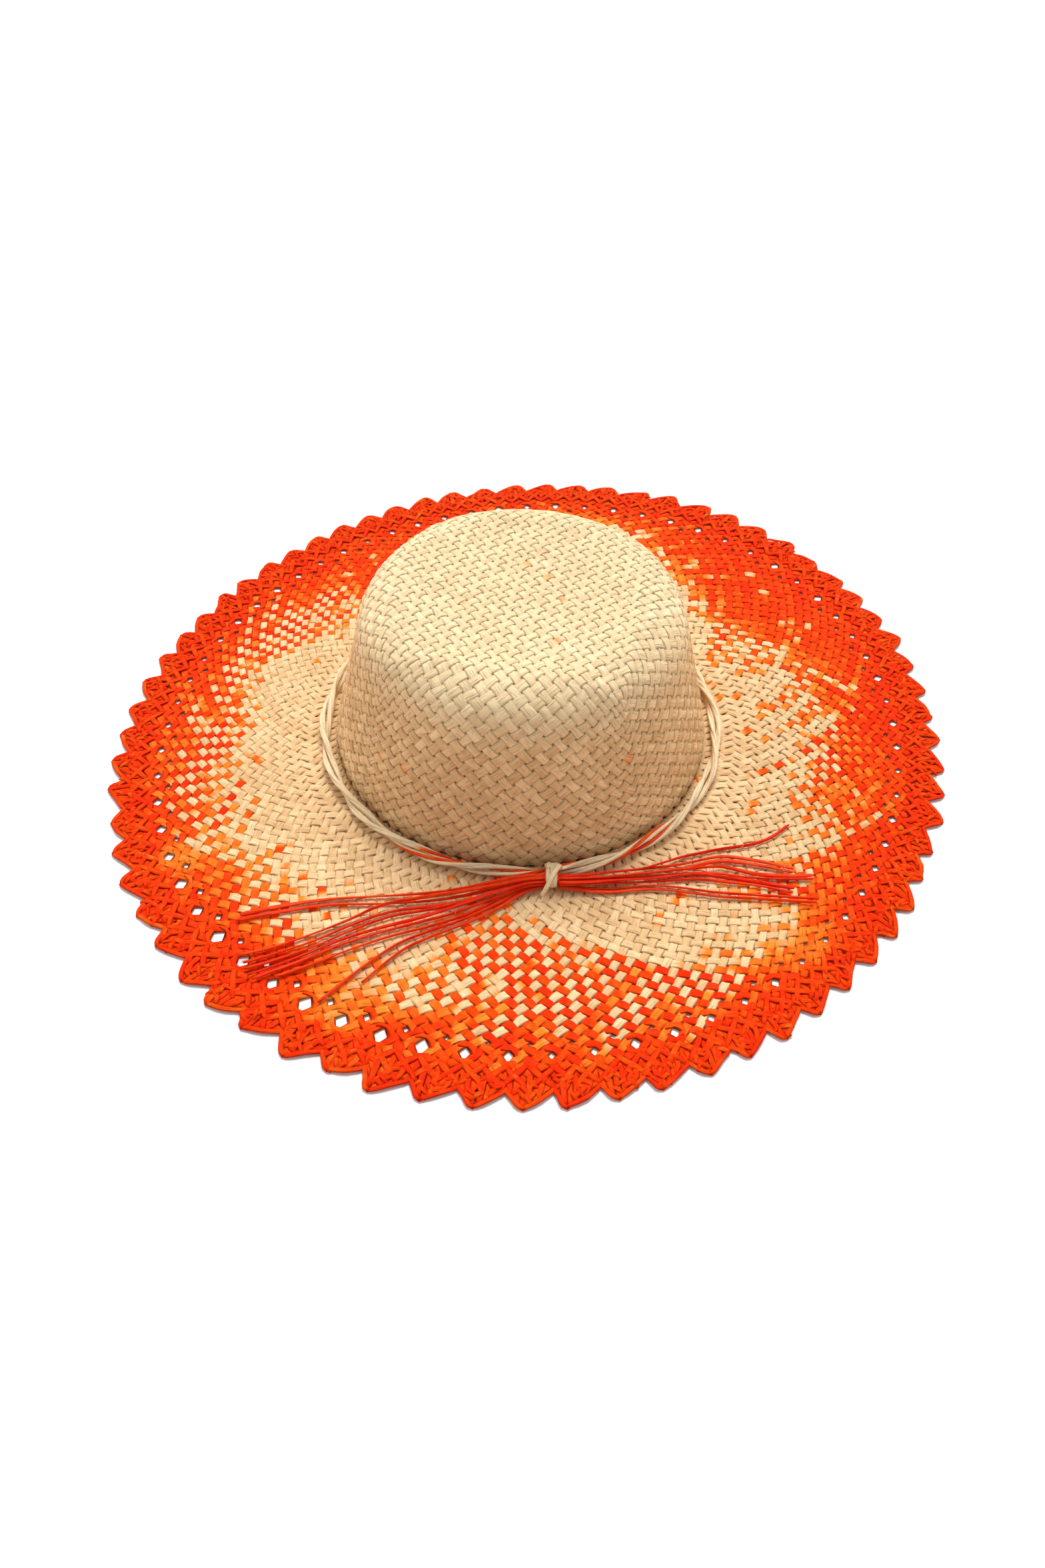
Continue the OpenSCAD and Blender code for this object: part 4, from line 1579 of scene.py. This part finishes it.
@dataclass
class CordWork:
    """The hat cord of two twisted plies, the winding that ties it, and its loose tails."""

    sizes: HatSizes
    strand_d: float = 1.5
    strand_t: float = 1.05
    strand_step: float = 2.2
    span_steps: int = 3
    ply_strands: int = 3
    ply_stations: int = 420
    ply_gap: float = 2.4
    strand_turns: int = 12
    bundle_d: float = 2.3
    dyed_front: float = -100.5

    def route(self, marks: Points) -> np.ndarray:
        """The smooth line of a loose strand, in mm.

        Args:
            marks: x, y and height above what the strand lies on.
        Returns:
            The line's points.
        """
        points = np.array([(x, y, self.sizes.ground(math.hypot(x, y), self.strand_d) + h)
                           for x, y, h in marks], float)
        return smooth_line(points, self.span_steps * (len(points) - 1) + 1)

    def finer(self, line: np.ndarray, step: float) -> np.ndarray:
        """The same line with its points evenly apart.

        Args:
            line: the line.
            step: about how far apart its points are to be.
        Returns:
            The line's new points.
        """
        run = travelled(line)
        at = np.linspace(0, run[-1], max(6, int(run[-1] / step)))
        return np.stack([np.interp(at, run, line[:, k]) for k in range(3)], 1)

    def tails(self, rng: np.random.Generator) -> List[bpy.types.Object]:
        """Makes the loose tails, each a piece of its own.

        Args:
            rng: the source of their small differences.
        Returns:
            The tails.
        """
        made = []
        for side, routes in (("left", LEFT_TAILS), ("right", RIGHT_TAILS)):
            for number, marks in enumerate(routes, 1):
                path = self.route(marks)
                line = self.finer(path, self.strand_step)
                share = np.linspace(0, 1, len(line))
                turn = rng.uniform(-0.5, 0.5) + rng.uniform(1.5, 4.0) * share
                width = rng.uniform(1.45, 1.9) - 0.25 * np.cos(share * 9 + rng.uniform(0, 6))
                width[-1] *= 0.5
                batch = StrawBatch(self.strand_t)
                dye = 1 - 0.25 * rng.uniform() * np.sin(share * 5 + rng.uniform(0, 6)) ** 2
                batch.add(Straw.free(line, width, turn, dye, float(rng.uniform(0.2, 1))))
                piece = batch.build(f"{side}_tail_strand_{number}")
                dress(piece, TAIL_FINISH, CORD_BODY, [f"{side}_tail_{number}"])
                made.append(piece)
        return made

    def ply(self, name: str, node: str, phase: float, rng: np.random.Generator
            ) -> bpy.types.Object:
        """Makes one ply of the cord from its twisted strands.

        Args:
            name: the piece's name.
            node: the CAD node that it stands for.
            phase: where it starts about the cord's middle line, in radians.
            rng: the source of the strands' differences.
        Returns:
            The ply.
        """
        s = self.sizes
        knot = box_mm("knot_winding")
        knot_x = (knot[0][0] + knot[1][0]) / 2
        knot_turn = -math.acos((knot_x - s.crown_x) / s.cord_r)
        half = self.ply_gap / 2 / s.cord_r
        turn = np.linspace(knot_turn + half, knot_turn + 2 * math.pi - half, self.ply_stations)
        out = ring_points(1.0, turn, np.zeros_like(turn))
        wind = s.twist_turns * turn + phase
        core = (s.crown_middle + out * (s.cord_r + s.twist_r * np.cos(wind))[:, None]
                + UP * (s.cord_z + s.twist_r * np.sin(wind))[:, None])
        away = np.minimum(turn - turn[0], turn[-1] - turn)
        batch = StrawBatch(1.75, Section.ROUND)
        for k in range(self.ply_strands):
            lay = (self.strand_turns * turn + 2 * math.pi * k / self.ply_strands
                   + 0.4 * np.sin(turn * 5 + rng.uniform(0, 6)))
            ring = 0.66 + 0.08 * np.sin(turn * 11 + rng.uniform(0, 6))
            line = (core + out * (ring * np.cos(lay))[:, None]
                    + UP * (ring * np.sin(lay))[:, None])
            reach = rng.uniform(0.4, 0.7) if k == 0 else 0.0
            dye = 0.8 * (1 - smooth_step((away - reach) / 0.15)) if reach else turn * 0
            width = np.full(len(turn), 1.85) + 0.16 * np.sin(turn * 23 + k)
            batch.add(Straw.free(line, width, np.zeros_like(turn), dye,
                                 float(rng.uniform(0.2, 1))))
        piece = dress(batch.build(name), CORD_FINISH, CORD_BODY, [node])
        return piece

    def winding(self, rng: np.random.Generator) -> List[bpy.types.Object]:
        """Makes the strip that is wound round the cord, over the bundle that it holds.

        Args:
            rng: the source of the strands' differences.
        Returns:
            The bundle's two pieces and the winding.
        """
        low, high = box_mm("knot_winding")
        radius = (high[2] - low[2]) / 2
        middle_z = (high[2] + low[2]) / 2
        back, front = high[1] - radius, low[1] + radius
        flat, bend = back - front, math.pi * radius
        girth = 2 * (flat + bend)

        def oval(run: np.ndarray, inset: float) -> Tuple[np.ndarray, np.ndarray]:
            """Points round the winding's outline, seen from the end.

            Args:
                run: distances round it.
                inset: how far inside the outline the points are.
            Returns:
                The points' y and z.
            """
            at = run % girth
            r = radius - inset
            y = np.where(at < flat, back - at, np.where(
                at < flat + bend, front - r * np.sin((at - flat) / radius), np.where(
                    at < 2 * flat + bend, front + (at - flat - bend),
                    back + r * np.sin((at - 2 * flat - bend) / radius))))
            z = np.where(at < flat, r, np.where(
                at < flat + bend, r * np.cos((at - flat) / radius), np.where(
                    at < 2 * flat + bend, -r, -r * np.cos((at - 2 * flat - bend) / radius))))
            return y, z + middle_z

        batch = StrawBatch(0.62)
        for turns, inset, swing, width in ((2.7, 0.32, 1.0, 2.5), (1.15, 0.1, -0.85, 1.9)):
            stations = int(26 * turns)
            run = np.linspace(0, turns * girth, stations) + girth * 0.9
            y, z = oval(run, inset)
            room = (high[0] - low[0]) / 2 - width / 2
            slide = ((low[0] + high[0]) / 2 + swing * room * np.linspace(-1, 1, stations)
                     + 0.2 * np.sin(run / girth * 9))
            line = np.stack([slide, y, z], 1)
            tangent = unit(np.gradient(line, axis=0))
            out = unit(np.stack([np.zeros(stations), y - np.clip(y, front, back),
                                 z - middle_z], 1))
            side = unit(np.cross(out, tangent))
            none = np.zeros(stations)
            batch.add(Straw(line, side * width / 2, out, none, none + 0.25, none,
                            float(rng.uniform(0.5, 1))))
        held = self.bundle(low, high, front, back, middle_z, rng)
        return held + [dress(batch.build("knot_strip"), CORD_FINISH, CORD_BODY,
                             ["knot_winding"])]

    def bundle(self, low: np.ndarray, high: np.ndarray, front: float, back: float,
               middle_z: float, rng: np.random.Generator) -> List[bpy.types.Object]:
        """Makes the strands inside the winding: dyed tails in front, the cord at the back.

        Args:
            low: the winding's lowest corner.
            high: the winding's highest corner.
            front: y of the middle of its front bend.
            back: y of the middle of its back bend.
            middle_z: its middle height.
            rng: the source of the strands' shades.
        Returns:
            The cord's strands and the tails' strands.
        """
        plain, dyed = (StrawBatch(self.bundle_d, Section.ROUND) for _ in range(2))
        x = np.linspace(low[0] - 0.3, high[0] + 0.3, 6)
        none = np.zeros(len(x))
        for y in np.linspace(front - 0.9, back + 0.9, 5):
            is_dyed = y < self.dyed_front
            for z in (-1.75, 0.05, 1.85):
                line = np.stack([x, none + y, none + middle_z + z], 1)
                straw = Straw.free(line, none + self.bundle_d, none, none + float(is_dyed),
                                   float(rng.uniform(0, 1)))
                (dyed if is_dyed else plain).add(straw)
        return [dress(plain.build("knot_cord_strands"), CORD_FINISH, CORD_BODY),
                dress(dyed.build("knot_tail_strands"), TAIL_FINISH, CORD_BODY)]

    def ends(self, rng: np.random.Generator) -> List[bpy.types.Object]:
        """Makes the two loose ends of the winding's strip.

        Args:
            rng: the source of their shades.
        Returns:
            The ends.
        """
        made = []
        for name, marks, node in (("knot_strip_front_end", FRONT_END, "knot_front_end"),
                                  ("knot_strip_side_end", SIDE_END, "knot_side_end")):
            line = self.finer(self.route(marks), 0.9)
            batch = StrawBatch(0.7)
            width = np.full(len(line), 2.3)
            width[-1] = 1.2
            batch.add(Straw.free(line, width, np.linspace(0.2, 0.9, len(line)),
                                 np.zeros(len(line)), float(rng.uniform(0.7, 1))))
            made.append(dress(batch.build(name), CORD_FINISH, CORD_BODY, [node]))
        return made


@dataclass
class StrayFibres:
    """The hairs that stand out of hand-plaited straw."""

    sizes: HatSizes
    crown: CrownPlait
    law: BrimLaw
    crown_hairs: int = 46
    brim_hairs: int = 60
    thickness: float = 0.16
    dyed_r: float = 160.0

    def build(self, rng: np.random.Generator) -> bpy.types.Object:
        """Makes the hairs.

        Args:
            rng: the source of their places.
        Returns:
            The piece.
        """
        batch = StrawBatch(self.thickness, Section.ROUND)
        s = self.sizes
        for i in range(self.crown_hairs + self.brim_hairs):
            azimuth = rng.uniform(0, 2 * math.pi)
            if i < self.crown_hairs:
                r, z, tilt = self.crown.profile(np.array([rng.uniform(20, 140)]))
                out = ring_points(np.cos(tilt), azimuth, np.sin(tilt))[0]
                foot = s.crown_middle + ring_points(r, azimuth, z)[0] + out * s.crown_t / 2
                dye = 0.0
            else:
                radius = rng.uniform(110, 196)
                foot = self.law.place(np.array(radius), np.array(azimuth), 0.0)
                foot = self.law.stretch(foot.reshape(1, 3))[0]
                out = UP
                dye = float(radius > self.dyed_r)
            side = unit(np.cross(out, rng.normal(0, 1, 3)))
            long = rng.uniform(3, 9)
            t = np.linspace(0, 1, 7)[:, None]
            curl = unit(np.cross(out, side)) * rng.uniform(-0.5, 0.5)
            line = foot + long * (side * t + curl * t ** 2 + out * 0.35 * np.sin(t * 2.6))
            width = np.linspace(0.2, 0.08, 7)
            batch.add(Straw.free(line, width, np.zeros(7), np.full(7, dye), 1.0))
        return dress(batch.build("stray_fibres"), PLAIT_FINISH, HAT_BODY)


# ---------------------------------------------------------------- studio


@dataclass
class Studio:
    """The camera above the front of the hat, a pale floor and soft light."""

    distance: float = 615.47
    elevation: float = 47.597
    roll: float = 1.714
    aim: Tuple[float, float] = (-7.188, -30.229)
    tip_height: float = 1.0
    lens: float = 27.877
    sensor: float = 36.0
    floor_size: float = 12.0
    floor_grey: float = 0.93
    sky: float = 0.40

    def camera(self) -> None:
        """Sets the camera."""
        e, roll = math.radians(self.elevation), math.radians(self.roll)
        back = np.array([0, -math.cos(e), math.sin(e)])
        level, rise = np.array([1.0, 0, 0]), np.array([0, math.sin(e), math.cos(e)])
        right = level * math.cos(roll) + rise * math.sin(roll)
        up = rise * math.cos(roll) - level * math.sin(roll)
        place = back * self.distance + right * self.aim[0] + up * self.aim[1]
        place[2] += self.tip_height
        data = bpy.data.cameras.new("camera")
        data.lens = self.lens
        data.sensor_width = self.sensor
        data.clip_start = 0.01
        camera = bpy.data.objects.new("camera", data)
        bpy.context.scene.collection.objects.link(camera)
        camera.matrix_world = Matrix([
            (right[0], up[0], back[0], place[0] * MM), (right[1], up[1], back[1], place[1] * MM),
            (right[2], up[2], back[2], place[2] * MM), (0, 0, 0, 1)])
        bpy.context.scene.camera = camera

    def light(self, name: str, towards: Tuple[float, float, float], spread: float,
              power: float) -> None:
        """Adds one soft light that reaches the whole floor evenly.

        Args:
            name: its name.
            towards: direction in which it is seen from the hat.
            spread: how wide it looks from there, in degrees.
            power: its strength.
        """
        data = bpy.data.lights.new(name, "SUN")
        data.angle = math.radians(spread)
        data.energy = power
        lamp = bpy.data.objects.new(name, data)
        bpy.context.scene.collection.objects.link(lamp)
        away = unit(np.array(towards, float))
        side = unit(np.cross(np.array([0.0, 1.0, 0.01]), away))
        top = np.cross(away, side)
        lamp.matrix_world = Matrix([
            (side[0], top[0], away[0], away[0]), (side[1], top[1], away[1], away[1]),
            (side[2], top[2], away[2], away[2]), (0, 0, 0, 1)])

    def floor(self) -> None:
        """Lays the pale floor."""
        form = bmesh.new()
        bmesh.ops.create_grid(form, x_segments=2, y_segments=2, size=self.floor_size / 2)
        mesh = bpy.data.meshes.new("floor")
        form.to_mesh(mesh)
        form.free()
        floor = link("floor", mesh)
        made = bpy.data.materials.new("pale_floor")
        made.use_nodes = True
        shader = made.node_tree.nodes["Principled BSDF"]
        shader.inputs["Base Color"].default_value = (*[self.floor_grey] * 3, 1)
        shader.inputs["Roughness"].default_value = 0.9
        shader.inputs["Specular IOR Level"].default_value = 0.1
        mesh.materials.append(made)

    def build(self) -> None:
        """Sets the whole studio."""
        self.camera()
        self.floor()
        self.light("main_light", (0.05, 0.60, 1.0), 30, 3.0)
        self.light("left_light", (-1.0, 0.25, 0.55), 50, 0.95)
        self.light("right_light", (1.0, 0.15, 0.55), 50, 0.60)
        world = bpy.data.worlds.new("studio")
        world.use_nodes = True
        sky = world.node_tree.nodes["Background"]
        sky.inputs[0].default_value = (1, 1, 1, 1)
        sky.inputs[1].default_value = self.sky
        bpy.context.scene.world = world
        bpy.context.scene.view_settings.view_transform = "Standard"


def main() -> None:
    """Builds the hat piece by piece, then its studio."""
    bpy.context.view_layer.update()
    sizes = HatSizes.from_frame()
    rng = np.random.default_rng(7)
    Studio().build()
    cord = CordWork(sizes)
    made = cord.tails(rng)
    made += [cord.ply("cord_ply_a_strands", "cord_ply_a", 0.0, rng),
             cord.ply("cord_ply_b_strands", "cord_ply_b", math.pi, rng)]
    made += cord.winding(rng)
    made += cord.ends(rng)
    law = BrimLaw(sizes)
    crown = CrownPlait(sizes)
    made += crown.build(rng)
    made += BrimPlait(sizes, law).build(rng)
    made += ToothedEdge(sizes, law).build(rng)
    made += Sweatband(sizes).build()
    made.append(StrayFibres(sizes, crown, law).build(rng))
    for piece in made:
        log.info("%s: %d faces", piece.name, len(piece.data.polygons))


if __name__ == "__main__":
    main()
